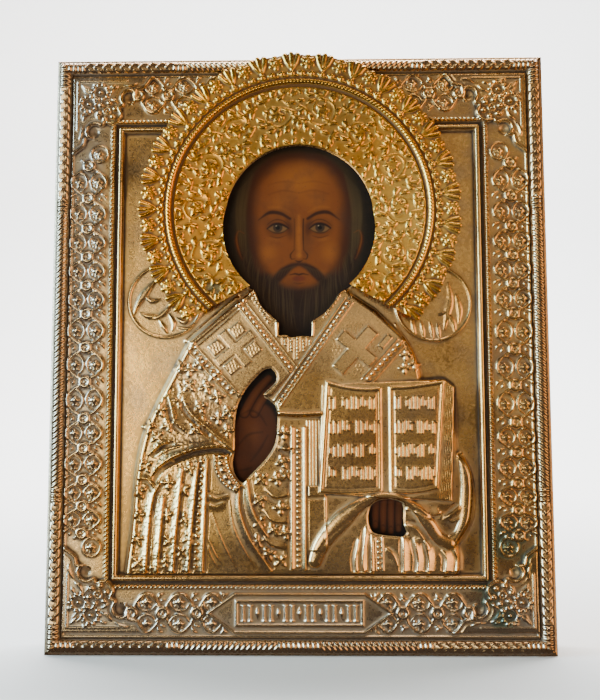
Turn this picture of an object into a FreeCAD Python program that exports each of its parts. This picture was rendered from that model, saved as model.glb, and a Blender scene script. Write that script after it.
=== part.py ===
import FreeCAD, Part
import math
import os
import re
import Sketcher

# An icon in its pressed brass cover.
# The picture faces -Y, +Z is up and X runs to the viewer's right. The origin is the middle of the lower
# skirt's resting face, in the plane of the painting's front. A level is a distance in front of that plane.

os.makedirs("parts", exist_ok=True)
doc = FreeCAD.newDocument("icon_cover")

# Driving sizes, in millimetres and degrees
SIZES = (
    # The sheet and its skirts, which fold back over the edges of the board
    ("cover_width", 222.8),
    ("cover_height", 267.8),
    ("sheet_thickness", 0.4),
    ("cover_fit", 0.1),
    ("skirt_depth", 21),
    # The moulding round the edge, from the fold inwards
    ("edge_level", 1.0),
    ("roll_width", 1.1),
    ("roll_level", 2.2),
    ("rope_margin", 1.4),
    ("rope_radius", 2.8),
    ("rope_level", 2.4),
    ("groove_width", 0.7),
    ("groove_level", 1.6),
    ("line_width", 1.2),
    ("line_level", 2.9),
    ("band_level", 2.2),
    ("band_lip", 2.0),
    # The moulding round the field, from the field outwards
    ("field_width", 159.2),
    ("field_height", 198.6),
    ("wall_slope", 0.5),
    ("inner_line_width", 2.0),
    ("inner_line_level", 2.9),
    ("inner_groove_width", 1.6),
    ("inner_groove_level", 1.2),
    ("fine_rope_radius", 1.05),
    ("fine_rope_level", 2.85),
    # Levels of the pressed forms, and how far their walls lean inwards
    ("figure_level", 3.4),
    ("figure_slope", 2.6),
    ("sleeve_level", 4.2),
    ("stole_level", 4.3),
    ("cross_level", 4.9),
    ("fold_level", 4.7),
    ("collar_level", 3.9),
    ("drape_level", 6.0),
    ("drape_width", 10.5),
    ("drape_loop_width", 6.3),
    ("drape_slope", 2.1),
    ("block_level", 5.6),
    ("page_level", 7.2),
    ("medallion_level", 1.5),
    ("medallion_radius", 17.0),
    ("spandrel_level", 4.3),
    ("spandrel_reach", 37.5),
    ("cartouche_level", 3.7),
    ("plaque_level", 2.9),
    ("pressed_slope", 0.7),
    ("fold_width", 3.4),
    ("fold_slope", 0.45),
    ("stole_cross_size", 9.0),
    ("left_cross_turn", -33),
    ("right_cross_turn", 40),
    # Buds of the side and end bands
    ("bud_size", 3.4),
    ("bud_height", 1.3),
    ("bud_pitch", 13.6),
    ("bud_row_offset", 4.75),
    ("bud_stagger", 1.6),
    ("side_bud_start", 56.8),
    ("side_bud_count", 12),
    ("end_bud_start", 66.8),
    ("end_bud_count", 2),
    # The nimbus plate
    ("nimbus_level", 5.3),
    ("nimbus_radius", 73.2),
    ("nimbus_notch", 1.9),
    ("rosette_inset", 0.9),
    ("nimbus_units", 29),
    ("nimbus_ring_radius", 59.1),
    ("nimbus_ring_half_width", 1.75),
    ("head_radius", 33.2),
    ("head_clearance", 0.6),
    ("rosette_radius", 2.5),
    ("rosette_height", 1.1),
    ("rosette_circle", 68.2),
    ("rosette_sides", 6),
    ("rosette_start", 86.7),
    ("scroll_count", 14),
    ("scroll_circle", 45.6),
    ("scroll_radius", 4.6),
    ("scroll_height", 0.9),
    ("palmette_length", 8.6),
    ("palmette_width", 4.6),
    ("palmette_height", 1.3),
    # The wooden panel and the painting on it
    ("ground_thickness", 1.0),
    ("board_depth", 23),
    ("board_chamfer", 1.0),
    # Two tapered dovetail battens let into the back
    ("upper_batten_height", 205),
    ("lower_batten_height", 62),
    ("batten_narrow", 20),
    ("batten_wide", 24),
    ("batten_undercut", 2.0),
    ("batten_depth", 8),
    ("batten_rise", 3),
    ("batten_fit", 0.05),
    ("batten_end_gap", 1.5),
    # Small brass nails
    ("nail_shank", 0.9),
    ("nail_head", 2.4),
    ("nail_crown", 1.44),
    ("nail_head_height", 0.5),
    ("nail_length", 13),
    ("nail_fit", 0.05),
    ("nail_row_level", 10),
    ("side_nail_count", 5),
    ("side_nail_step", 54),
    ("top_nail_count", 4),
    ("top_nail_step", 58),
    ("nimbus_nail_count", 5),
    ("nimbus_nail_step", 61),
    ("nimbus_nail_start", -32),
    ("nimbus_nail_circle", 63.6),
    # The hanging ring and its staple
    ("staple_wire", 1.6),
    ("staple_height", 246),
    ("staple_bite", 9),
    ("ring_wire", 2.2),
    ("ring_radius", 10),
    ("ring_play", 0.3),
    # How far a cut runs past what it cuts, and how far behind the sheet its nail holes start
    ("overrun", 2),
    ("hole_reach", 1.2),
)

sizes = doc.addObject("Spreadsheet::Sheet", "sizes")
for row, (alias, value) in enumerate(SIZES, 1):
    sizes.set(f"A{row}", alias)
    sizes.set(f"B{row}", str(value))
    sizes.setAlias(f"B{row}", alias)
doc.recompute()
ALIASES = {alias for alias, value in SIZES}

# Places on the front are shares of half the width, across, and of the height, up
NIMBUS_CENTRE_SHARES = (0.0035, 0.7334)
HEAD_CENTRE_SHARES = (0.0033, 0.7207)


def rule(words):
    """Spells out a sum of named sizes for the sheet."""
    return re.sub(r"[a-z_]+", lambda found: f"sizes.{found[0]}" if found[0] in ALIASES else found[0], words)


def worth(words):
    """Works out a sum of named sizes."""
    return float(sizes.evalExpression(words))


def bind(feature, **rules):
    """Ties properties of a feature to sums of named sizes."""
    for name, words in rules.items():
        feature.setExpression(name.replace("__", "."), rule(words))


# Bodies and their sketches


def new_body(name):
    body = doc.addObject("PartDesign::Body", name)
    body.Label = name
    return body


def origin_part(body, role):
    return next(feature for feature in body.Origin.OriginFeatures if feature.Role == role)


def new_sketch(body, name, plane, shift=None):
    """Lays a sketch on one of the body's own planes, moved along its normal by a sum of sizes."""
    sketch = body.newObject("Sketcher::SketchObject", name)
    sketch.AttachmentSupport = (origin_part(body, plane), [""])
    sketch.MapMode = "FlatFace"
    if shift:
        sketch.setExpression("AttachmentOffset.Base.z", rule(shift))
    return sketch


def hold_point(sketch, geometry, end, across, up):
    """Ties one point of a sketch to two sums of sizes from the sketch's origin."""
    for kind, words in (("DistanceX", across), ("DistanceY", up)):
        index = sketch.addConstraint(Sketcher.Constraint(kind, -1, 1, geometry, end, worth(words)))
        sketch.setExpression(f"Constraints[{index}]", rule(words))


def draw_polygon(sketch, corners):
    """Joins corners, each a pair of sums of sizes, with straight lines and closes them."""
    spots = [FreeCAD.Vector(worth(across), worth(up), 0) for across, up in corners]
    for index, spot in enumerate(spots):
        sketch.addGeometry(Part.LineSegment(spot, spots[(index + 1) % len(spots)]))
    for index, (across, up) in enumerate(corners):
        sketch.addConstraint(Sketcher.Constraint("Coincident", index, 2, (index + 1) % len(corners), 1))
        hold_point(sketch, index, 1, across, up)


def draw_circle(sketch, across, up, radius):
    """Draws a circle whose centre and radius are sums of sizes."""
    spot = FreeCAD.Vector(worth(across), worth(up), 0)
    index = sketch.addGeometry(Part.Circle(spot, FreeCAD.Vector(0, 0, 1), worth(radius)))
    hold_point(sketch, index, 3, across, up)
    held = sketch.addConstraint(Sketcher.Constraint("Radius", index, worth(radius)))
    sketch.setExpression(f"Constraints[{held}]", rule(radius))


def draw_chain(sketch, steps):
    """Draws an open outline: straight to each point, or in a half round where a step names a radius."""
    spots = [FreeCAD.Vector(worth(step[0]), worth(step[1]), 0) for step in steps]
    before = None
    for index, step in enumerate(steps[1:]):
        start, stop = spots[index], spots[index + 1]
        first, last = 1, 2
        if len(step) == 2:
            sketch.addGeometry(Part.LineSegment(start, stop))
            if before is None:
                hold_point(sketch, index, first, *steps[index])
            hold_point(sketch, index, last, *step)
        else:
            crest = (start + stop) / 2 - FreeCAD.Vector(0, worth(step[2]), 0)
            sketch.addGeometry(Part.Arc(start, crest, stop))
            ends = [sketch.getPoint(index, end) for end in (first, last)]
            if ends[0].distanceToPoint(start) > ends[1].distanceToPoint(start):
                first, last = last, first
            held = sketch.addConstraint(Sketcher.Constraint("DistanceY", -1, 1, index, 3, worth(step[1])))
            sketch.setExpression(f"Constraints[{held}]", rule(step[1]))
        if before is not None:
            sketch.addConstraint(Sketcher.Constraint("Coincident", index - 1, before, index, first))
        before = last


def pad(body, name, sketch, length, backwards=False):
    feature = body.newObject("PartDesign::Pad", name)
    feature.Profile = sketch
    feature.Reversed = backwards
    bind(feature, Length=length)
    doc.recompute()
    return feature


def pocket(body, name, sketch, length, backwards=False):
    """Cuts a sketch out of its body, and stops if the cut takes nothing away."""
    before = body.Shape.Volume
    feature = body.newObject("PartDesign::Pocket", name)
    feature.Profile = sketch
    feature.Reversed = backwards
    bind(feature, Length=length)
    doc.recompute()
    if feature.Shape.Volume > before - 1e-3:
        raise RuntimeError(f"{name} takes nothing away")
    return feature


# The nails: a low round head on a square shank, repeated along a line or round a circle


def draw_square(sketch, across, up, half, turn="0"):
    """Draws a square about a place, turned by an angle in degrees."""
    corners = []
    for quarter in range(4):
        angle = f"(({turn} + 45 + 90 * {quarter}) * 1 deg)"
        corners.append((f"{across} + {half} * sqrt(2) * cos{angle}", f"{up} + {half} * sqrt(2) * sin{angle}"))
    first = sketch.GeometryCount
    spots = [FreeCAD.Vector(worth(x), worth(y), 0) for x, y in corners]
    for index, spot in enumerate(spots):
        sketch.addGeometry(Part.LineSegment(spot, spots[(index + 1) % 4]))
    for index, (x, y) in enumerate(corners):
        sketch.addConstraint(Sketcher.Constraint("Coincident", first + index, 2, first + (index + 1) % 4, 1))
        hold_point(sketch, first + index, 1, x, y)


def nail_body(name, shift="0"):
    """One nail beside the body's origin, with its head towards -Y and its head's seat at Y = 0."""
    body = new_body(name)
    half = new_sketch(body, f"{name}_half", "XY_Plane")
    bind(half, AttachmentOffset__Base__x=shift)
    draw_polygon(half, (("0", "-nail_head_height"), ("nail_crown / 2", "-nail_head_height"),
                        ("nail_head / 2", "0"), ("0", "0")))
    head = body.newObject("PartDesign::Revolution", f"{name}_head")
    head.Profile = half
    head.ReferenceAxis = (half, ["V_Axis"])
    head.Angle = 360
    doc.recompute()
    square = new_sketch(body, f"{name}_square", "XZ_Plane")
    draw_square(square, shift, "0", "(nail_shank / 2)")
    shank = pad(body, f"{name}_shank", square, "nail_length", True)
    return body, [head, shank]


def nail_row(name, axis, count, step):
    """A straight row of nails, the first at the body's origin."""
    body, nail = nail_body(name)
    row = body.newObject("PartDesign::LinearPattern", f"{name}_row")
    row.Originals = nail
    row.Direction = (origin_part(body, axis), [""])
    bind(row, Length=f"{step} * ({count} - 1)", Occurrences=count)
    body.Tip = row
    doc.recompute()
    return body


def row_places(count, step):
    """Where the nails of a centred row stand along it, as sums of sizes."""
    return [f"({place} - ({count} - 1) / 2) * {step}" for place in range(int(worth(count)))]


def nimbus_nail_places():
    """Where the nails of the nimbus stand, as sums of sizes across and up, and how each is turned."""
    places = []
    for place in range(int(sizes.nimbus_nail_count)):
        angle = f"((nimbus_nail_start + nimbus_nail_step * {place}) * 1 deg)"
        across = f"cover_width / 2 * {NIMBUS_CENTRE_SHARES[0]} + nimbus_nail_circle * cos{angle}"
        up = f"cover_height * {NIMBUS_CENTRE_SHARES[1]} + nimbus_nail_circle * sin{angle}"
        places.append((across, up, f"(nimbus_nail_start + nimbus_nail_step * {place})"))
    return places


HALF_HOLE = "(nail_shank / 2 + nail_fit)"
SKIRT_GAP = "(sheet_thickness + cover_fit)"
HALF_BOARD = f"(cover_width / 2 - {SKIRT_GAP})"


def side_nails(name, side):
    """The row through a side skirt, centred on half the cover's height."""
    body = nail_row(name, "Z_Axis", "side_nail_count", "side_nail_step")
    body.Placement.Rotation = FreeCAD.Rotation(FreeCAD.Vector(0, 0, 1), 90 * side)
    bind(body, Placement__Base__x=f"cover_width / 2 * {side}", Placement__Base__y="nail_row_level",
         Placement__Base__z="cover_height / 2 - side_nail_step * (side_nail_count - 1) / 2")
    return body


def top_nails():
    body = nail_row("top_skirt_nails", "X_Axis", "top_nail_count", "top_nail_step")
    body.Placement.Rotation = FreeCAD.Rotation(FreeCAD.Vector(1, 0, 0), -90)
    bind(body, Placement__Base__x="-top_nail_step * (top_nail_count - 1) / 2",
         Placement__Base__y="nail_row_level", Placement__Base__z="cover_height")
    return body


def nimbus_nails():
    """Nails round the nimbus, turned about its centre by a polar pattern."""
    body, nail = nail_body("nimbus_nails", "nimbus_nail_circle")
    ring = body.newObject("PartDesign::PolarPattern", "nimbus_nails_ring")
    ring.Originals = nail
    ring.Axis = (origin_part(body, "Y_Axis"), [""])
    ring.Reversed = True
    bind(ring, Angle="nimbus_nail_step * (nimbus_nail_count - 1)", Occurrences="nimbus_nail_count")
    body.Tip = ring
    body.Placement.Rotation = FreeCAD.Rotation(FreeCAD.Vector(0, 1, 0), 1)
    bind(body, Placement__Rotation__Angle="(0 - nimbus_nail_start) * 1 deg",
         Placement__Base__x=f"cover_width / 2 * {NIMBUS_CENTRE_SHARES[0]}",
         Placement__Base__y="-(nimbus_level + sheet_thickness)",
         Placement__Base__z=f"cover_height * {NIMBUS_CENTRE_SHARES[1]}")
    doc.recompute()
    return body


# The board, with its slots, its nail holes and the painting's ground


def dovetail_section(width, level, fit):
    """Corners of a dovetail section: its floor in the wood is wider than its mouth at the back."""
    floor = f"(ground_thickness + board_depth - batten_depth + batten_fit * {fit})"
    back = "(ground_thickness + board_depth + batten_rise)"
    mouth = f"({width} / 2 - batten_fit * {fit})"
    flare = f"({mouth} + batten_undercut)"
    return ((floor, f"{level} - {flare}"), (floor, f"{level} + {flare}"),
            (back, f"{level} + {mouth}"), (back, f"{level} - {mouth}"))


def dovetail_loft(body, kind, name, level, wide_side, fit, reach):
    """A dovetail that narrows along the board, cut as a slot or added as a batten."""
    ends = []
    taper = f"(batten_wide - batten_narrow) * {reach} / (2 * {HALF_BOARD})"
    for side in (-1, 1):
        width = f"(batten_wide + {taper})" if side == wide_side else f"(batten_narrow - {taper})"
        sketch = new_sketch(body, f"{name}_{'left' if side < 0 else 'right'}_end", "YZ_Plane",
                            f"{side} * ({HALF_BOARD} + {reach})")
        draw_polygon(sketch, dovetail_section(width, level, fit))
        ends.append(sketch)
    loft = body.newObject(f"PartDesign::{kind}", name)
    loft.Profile = ends[0]
    loft.Sections = [ends[1]]
    loft.Ruled = True
    doc.recompute()
    return loft


def drill(body, name, plane, shift, places, depth, backwards):
    """Sinks a row of nail holes from one face of a body."""
    sketch = new_sketch(body, name + "_places", plane, shift)
    for place in places:
        draw_square(sketch, place[0], place[1], HALF_HOLE, *place[2:])
    pocket(body, name, sketch, depth, backwards)


STAPLE_SPREAD = "(ring_wire / 2 + ring_play + staple_wire / 2)"


def panel_board():
    body = new_body("panel_board")
    outline = new_sketch(body, "board_outline", "XZ_Plane", "-ground_thickness")
    low, high = SKIRT_GAP, f"(cover_height - {SKIRT_GAP})"
    draw_polygon(outline, ((f"-{HALF_BOARD}", low), (HALF_BOARD, low), (HALF_BOARD, high),
                           (f"-{HALF_BOARD}", high)))
    slab = pad(body, "board_slab", outline, "board_depth", True)
    back = sizes.ground_thickness + sizes.board_depth
    rim = [f"Edge{number}" for number, edge in enumerate(slab.Shape.Edges, 1)
           if edge.BoundBox.YMin > back - sizes.board_chamfer / 2]
    chamfer = body.newObject("PartDesign::Chamfer", "board_chamfered_back")
    chamfer.Base = (slab, rim)
    bind(chamfer, Size="board_chamfer")
    doc.recompute()
    slots = (("upper_slot", "upper_batten_height", -1), ("lower_slot", "lower_batten_height", 1))
    for name, level, wide_side in slots:
        dovetail_loft(body, "SubtractiveLoft", name, level, wide_side, 0, "overrun")
    depth = f"nail_length - {SKIRT_GAP}"
    heights = [f"cover_height / 2 + {place}" for place in row_places("side_nail_count", "side_nail_step")]
    for name, side in (("left", -1), ("right", 1)):
        places = [("nail_row_level", up) for up in heights]
        drill(body, f"{name}_nail_holes", "YZ_Plane", f"{side} * {HALF_BOARD}", places, depth, side < 0)
    places = [(place, "nail_row_level") for place in row_places("top_nail_count", "top_nail_step")]
    drill(body, "top_nail_holes", "XY_Plane", high, places, depth, False)
    drill(body, "nimbus_nail_holes", "XZ_Plane", "-ground_thickness", nimbus_nail_places(),
          "nail_length - ground_thickness", False)
    legs = new_sketch(body, "staple_leg_places", "XZ_Plane", "-(ground_thickness + board_depth)")
    for side in (-1, 1):
        draw_square(legs, "0", f"staple_height + {side} * {STAPLE_SPREAD}", "(staple_wire / 2 + nail_fit)")
    pocket(body, "staple_leg_holes", legs, "staple_bite + nail_fit", True)
    return body


def painted_ground():
    """Chalk ground with the painting on its front, as large as the board."""
    body = new_body("painted_ground")
    outline = new_sketch(body, "ground_outline", "XZ_Plane")
    low, high = SKIRT_GAP, f"(cover_height - {SKIRT_GAP})"
    draw_polygon(outline, ((f"-{HALF_BOARD}", low), (HALF_BOARD, low), (HALF_BOARD, high),
                           (f"-{HALF_BOARD}", high)))
    pad(body, "ground_layer", outline, "ground_thickness", True)
    drill(body, "ground_nail_holes", "XZ_Plane", None, nimbus_nail_places(), "ground_thickness", False)
    return body


def batten(name, level, wide_side):
    """A dovetail batten driven in from its wide side, proud of the back."""
    body = new_body(name)
    dovetail_loft(body, "AdditiveLoft", f"{name}_wedge", level, wide_side, 1, "(0 - batten_end_gap)")
    return body


# The ring that the icon hangs from


def ring_staple():
    """A wire staple whose legs stand one above the other in the back of the board."""
    body = new_body("ring_staple")
    back = "(ground_thickness + board_depth)"
    spread = STAPLE_SPREAD
    path = new_sketch(body, "staple_path", "YZ_Plane")
    reach = f"({back} + ring_play + ring_wire / 2)"
    root = f"({back} - staple_bite)"
    ends = [FreeCAD.Vector(worth(across), worth(up), 0) for across, up in (
        (root, f"staple_height - {spread}"), (reach, f"staple_height - {spread}"),
        (reach, f"staple_height + {spread}"), (root, f"staple_height + {spread}"))]
    crown = (ends[1] + ends[2]) / 2
    crown.x += worth(spread)
    path.addGeometry(Part.LineSegment(ends[0], ends[1]))
    path.addGeometry(Part.Arc(ends[1], crown, ends[2]))
    path.addGeometry(Part.LineSegment(ends[2], ends[3]))
    hold_point(path, 0, 1, root, f"staple_height - {spread}")
    hold_point(path, 0, 2, reach, f"staple_height - {spread}")
    hold_point(path, 2, 1, reach, f"staple_height + {spread}")
    hold_point(path, 2, 2, root, f"staple_height + {spread}")
    hold_point(path, 1, 3, reach, "staple_height")
    path.addConstraint(Sketcher.Constraint("PointOnObject", 0, 2, 1))
    section = new_sketch(body, "staple_section", "XZ_Plane", f"0 - {root}")
    draw_square(section, "0", f"staple_height - {spread}", "(staple_wire / 2)")
    doc.recompute()
    wire = body.newObject("PartDesign::AdditivePipe", "staple_wire_bent")
    wire.Profile = section
    wire.Spine = path
    doc.recompute()
    return body


def hanging_ring():
    """A round wire ring that hangs from the staple."""
    body = new_body("hanging_ring")
    section = new_sketch(body, "ring_section", "YZ_Plane")
    draw_circle(section, "0", "ring_radius", "ring_wire / 2")
    ring = body.newObject("PartDesign::Revolution", "ring_turned")
    ring.Profile = section
    ring.ReferenceAxis = (origin_part(body, "Y_Axis"), [""])
    ring.Angle = 360
    doc.recompute()
    bind(body, Placement__Base__y="ground_thickness + board_depth + ring_play + ring_wire / 2",
         Placement__Base__z="staple_height - ring_radius")
    return body


# The pressed cover: mouldings swept round with mitred corners, then the forms pressed in the sheet


def moulding(name, steps, half_width, low, high):
    """Sweeps a sheet of the named thickness, whose front follows an outline, round a rectangle."""
    outline = doc.addObject("Sketcher::SketchObject", f"{name}_outline")
    bind(outline, Placement__Base__z="cover_height / 2")
    draw_chain(outline, steps)
    path = doc.addObject("Sketcher::SketchObject", f"{name}_path")
    path.Placement.Rotation = FreeCAD.Rotation(FreeCAD.Vector(1, 0, 0), 90)
    draw_polygon(path, ((f"-{half_width}", low), (half_width, low), (half_width, high),
                        (f"-{half_width}", high)))
    section = doc.addObject("Part::Offset2D", f"{name}_sheet")
    section.Source = outline
    section.Mode = "Skin"
    section.Join = "Intersection"
    section.Fill = True
    section.setExpression("Value", rule("-sheet_thickness"))
    swept = doc.addObject("Part::Sweep", name)
    swept.Sections = [section]
    swept.Spine = (path, [f"Edge{number}" for number in range(1, 5)])
    swept.Transition = "Right corner"
    swept.Solid = True
    doc.recompute()
    return swept


LINE_INSET = "(rope_margin + 2 * rope_radius + groove_width + line_width)"
LIP_INSET = f"({LINE_INSET} + band_lip)"
BAND_START = "(wall_slope + inner_line_width + inner_groove_width + 2 * fine_rope_radius)"
FIELD_LOW = "(cover_height / 2 - field_height / 2)"
FIELD_HIGH = "(cover_height / 2 + field_height / 2)"


def edge_moulding():
    """Skirt, edge roll, thick rope, groove and frame line, as far as the lip of the band."""
    edge = "-cover_width / 2"
    rope = f"{edge} + rope_margin"
    groove = f"{rope} + 2 * rope_radius"
    line = f"{groove} + groove_width"
    steps = ((edge, "skirt_depth"), (edge, "-edge_level"), (f"{edge} + roll_width", "-roll_level"),
             (rope, "-rope_level"), (groove, "-rope_level", "rope_radius"), (groove, "-groove_level"),
             (line, "-groove_level"), (line, "-line_level"), (f"{line} + line_width", "-line_level"),
             (f"{line} + line_width", "-band_level"), (f"{edge} + {LIP_INSET}", "-band_level"))
    return moulding("edge_moulding", steps, "cover_width / 2", "0", "cover_height")


def field_moulding():
    """The lip of the band, fine rope, groove, inner line and the wall down to the field."""
    wall = "-field_width / 2"
    inner = f"{wall} - wall_slope"
    groove = f"{inner} - inner_line_width"
    rope = f"{groove} - inner_groove_width"
    start = f"{rope} - 2 * fine_rope_radius"
    steps = ((f"{start} - band_lip", "-band_level"), (start, "-band_level"), (start, "-fine_rope_level"),
             (rope, "-fine_rope_level", "fine_rope_radius"), (rope, "-inner_groove_level"),
             (groove, "-inner_groove_level"), (groove, "-inner_line_level"), (inner, "-inner_line_level"),
             (wall, "-sheet_thickness"), (f"{wall} + band_lip", "-sheet_thickness"))
    return moulding("field_moulding", steps, "field_width / 2", FIELD_LOW, FIELD_HIGH)


def plate(name, half_width, low, high, level):
    """A flat stretch of the sheet whose front lies at a level."""
    flat = doc.addObject("Part::Box", name)
    bind(flat, Length=f"2 * {half_width}", Width="sheet_thickness", Height=f"{high} - {low}",
         Placement__Base__x=f"-{half_width}", Placement__Base__y=f"-({level})", Placement__Base__z=low)
    return flat


def band_plate():
    """The flat ground of the ornamented band, between the lips of the two mouldings."""
    reach = f"(field_width / 2 + {BAND_START} + band_lip)"
    outer = plate("band_outer", f"(cover_width / 2 - {LIP_INSET})", LIP_INSET,
                  f"(cover_height - {LIP_INSET})", "band_level")
    inner = plate("band_inner", reach, f"({FIELD_LOW} - {BAND_START} - band_lip)",
                  f"({FIELD_HIGH} + {BAND_START} + band_lip)", "band_level")
    band = doc.addObject("Part::Cut", "band_ground")
    band.Base = outer
    band.Tool = inner
    return band


# Outlines of pressed forms are runs of points: two points make a line, more make a smooth curve


def place_on_front(shares):
    """Turns shares into a place on the front, across and up."""
    return shares[0] * sizes.cover_width / 2, shares[1] * sizes.cover_height


def straight(shares):
    """A closed outline of straight sides."""
    corners = [place_on_front(share) for share in shares]
    return [(corner, corners[(index + 1) % len(corners)]) for index, corner in enumerate(corners)]


def smooth(*runs):
    """An outline of runs given as shares."""
    return [tuple(place_on_front(share) for share in run) for run in runs]


def strip(points, width):
    """The outline of a fold that follows points and narrows to its ends."""
    left, right = [], []
    last = len(points) - 1
    for index, (across, up) in enumerate(points):
        (ax, az), (bx, bz) = points[max(index - 1, 0)], points[min(index + 1, last)]
        length = math.hypot(bx - ax, bz - az)
        half = width / 2 * (FOLD_END_SHARE if index in (0, last) else 1)
        left.append((across - (bz - az) / length * half, up + (bx - ax) / length * half))
        right.append((across + (bz - az) / length * half, up - (bx - ax) / length * half))
    right.reverse()
    return [tuple(left), (left[-1], right[0]), tuple(right), (right[-1], left[0])]


def shrunk(runs, distance):
    """Moves a closed outline inwards by a distance, corners along their bisectors."""
    loop = [point for run in runs for point in run[:-1]]
    count = len(loop)
    area = sum(loop[i - 1][0] * loop[i][1] - loop[i][0] * loop[i - 1][1] for i in range(count))
    side = 1 if area > 0 else -1
    moved = []
    for i, (x, z) in enumerate(loop):
        normals = []
        for (ax, az), (bx, bz) in ((loop[i - 1], (x, z)), ((x, z), loop[(i + 1) % count])):
            length = math.hypot(bx - ax, bz - az)
            normals.append((-(bz - az) / length * side, (bx - ax) / length * side))
        (px, pz), (qx, qz) = normals
        stretch = distance / max(1 + px * qx + pz * qz, 0.5)
        moved.append((x + (px + qx) * stretch, z + (pz + qz) * stretch))
    answer, start = [], 0
    for run in runs:
        stop = start + len(run) - 1
        answer.append(tuple(moved[index % count] for index in range(start, stop + 1)))
        start = stop
    return answer


def wire(runs, level):
    """Closes an outline at a level in front of the painting."""
    edges = []
    for run in runs:
        spots = [FreeCAD.Vector(across, -level, up) for across, up in run]
        if len(spots) == 2:
            edges.append(Part.LineSegment(*spots).toShape())
        else:
            curve = Part.BSplineCurve()
            curve.interpolate(spots)
            edges.append(curve.toShape())
    return Part.Wire(edges)


# A crowned form's shoulder stands at this share of its slope and this share of its rise
CROWN_SLOPE_SHARE, CROWN_RISE_SHARE = 0.3, 0.62
# The flat tops of the small forms, as shares of their feet
BUD_TOP_SHARE, ROSETTE_TOP_SHARE, PALMETTE_TOP_SHARE = 0.3, 0.5, 0.35
# A fold's ends, as a share of its width
FOLD_END_SHARE = 0.75
# Directions that a half round steps through, in degrees
HALF_ROUND_ANGLES = (0, 45, 90, 135, 180)
# Steps of half a round outline
HALF_CIRCLE_STEPS = 12


def lofted(runs, bottom, top, slope, crowned):
    """A form whose walls lean in by the slope, with a rounded shoulder if it is crowned."""
    sections = [wire(runs, bottom)]
    if crowned:
        middle = bottom + (top - bottom) * CROWN_RISE_SHARE
        sections.append(wire(shrunk(runs, slope * CROWN_SLOPE_SHARE), middle))
    sections.append(wire(shrunk(runs, slope), top))
    return Part.makeLoft(sections, True, True)


raised_forms = []
hollow_forms = []


def sound(name, shape):
    """Hands a shape on, and stops if it isn't sound."""
    if shape.isNull() or not shape.isValid():
        raise RuntimeError(f"{name} isn't a sound shape")
    return shape


def press(name, runs, level, slope=None, crowned=False):
    """Raises a form in the sheet: its front is added and the hollow behind it is cut away."""
    slope = sizes.pressed_slope if slope is None else slope
    sheet = sizes.sheet_thickness
    raised_forms.append(sound(name, lofted(runs, sheet / 2, level, slope, crowned)))
    inside = shrunk(runs, sheet)
    hollow_forms.append(sound(f"back of {name}", lofted(inside, -sheet, level - sheet, slope, crowned)))


def add_ridge(name, runs, ground, level, slope=None):
    """Adds a narrow form that stands on a ground, where the sheet is too tight to be hollow."""
    slope = sizes.pressed_slope if slope is None else slope
    bottom = ground - sizes.sheet_thickness / 2
    raised_forms.append(sound(name, lofted(runs, bottom, level, slope, False)))


def cut_through(name, runs, reach):
    """Cuts an opening right through the sheet."""
    face = Part.Face(wire(runs, -sizes.overrun))
    hollow_forms.append(sound(name, face.extrude(FreeCAD.Vector(0, -reach - sizes.overrun, 0))))


# Outlines of the figure, its vestments and the book, as shares

FIGURE_SHARES = (
    ((-0.688, 0.132), (-0.678, 0.165), (-0.667, 0.210), (-0.660, 0.269), (-0.642, 0.329), (-0.603, 0.385),
     (-0.536, 0.444), (-0.474, 0.494), (-0.442, 0.517)),
    ((-0.442, 0.517), (-0.246, 0.587)), ((-0.246, 0.587), (-0.188, 0.611)), ((-0.188, 0.611), (0.188, 0.611)),
    ((0.188, 0.611), (0.313, 0.567)),
    ((0.313, 0.567), (0.403, 0.522), (0.465, 0.483), (0.519, 0.444)),
    ((0.519, 0.444), (0.600, 0.400), (0.640, 0.345), (0.675, 0.306)),
    ((0.675, 0.306), (0.689, 0.269), (0.680, 0.225), (0.644, 0.187), (0.635, 0.158), (0.635, 0.132)),
    ((0.635, 0.132), (-0.688, 0.132)))
LEFT_SLEEVE_SHARES = (
    ((-0.665, 0.136), (-0.650, 0.240), (-0.600, 0.300), (-0.500, 0.326), (-0.392, 0.334), (-0.300, 0.336)),
    ((-0.300, 0.336), (-0.262, 0.300), (-0.250, 0.268)),
    ((-0.250, 0.268), (-0.300, 0.262), (-0.350, 0.262)), ((-0.350, 0.262), (-0.375, 0.136)),
    ((-0.375, 0.136), (-0.665, 0.136)))
STOLE_LEFT_SHARES = ((-0.441, 0.509), (-0.245, 0.583), (-0.008, 0.460), (-0.089, 0.427), (-0.124, 0.436),
              (-0.249, 0.412))
STOLE_RIGHT_SHARES = ((0.215, 0.585), (0.429, 0.509), (0.277, 0.440), (0.150, 0.444), (0.085, 0.386),
               (-0.084, 0.386), (-0.098, 0.403))
COLLAR_SHARES = ((-0.085, 0.519), (0.055, 0.519), (0.020, 0.489), (-0.030, 0.489))
CROSS_PLACE_SHARES = ((-0.240, 0.500), (0.243, 0.496))
BOOK_BLOCK_SHARES = (
    (0.094, 0.442), (0.597, 0.447), (0.620, 0.438), (0.602, 0.244), (0.428, 0.249), (0.076, 0.255))
LEFT_PAGE_SHARES = (
    ((0.078, 0.264), (0.107, 0.448)), ((0.107, 0.448), (0.178, 0.439), (0.249, 0.435), (0.333, 0.436)),
    ((0.333, 0.436), (0.333, 0.260)), ((0.333, 0.260), (0.293, 0.262), (0.178, 0.259), (0.078, 0.264)))
RIGHT_PAGE_SHARES = (
    ((0.351, 0.436), (0.426, 0.437), (0.506, 0.443), (0.577, 0.448)), ((0.577, 0.448), (0.546, 0.268)),
    ((0.546, 0.268), (0.488, 0.261), (0.426, 0.258), (0.351, 0.261)), ((0.351, 0.261), (0.351, 0.436)))
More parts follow.
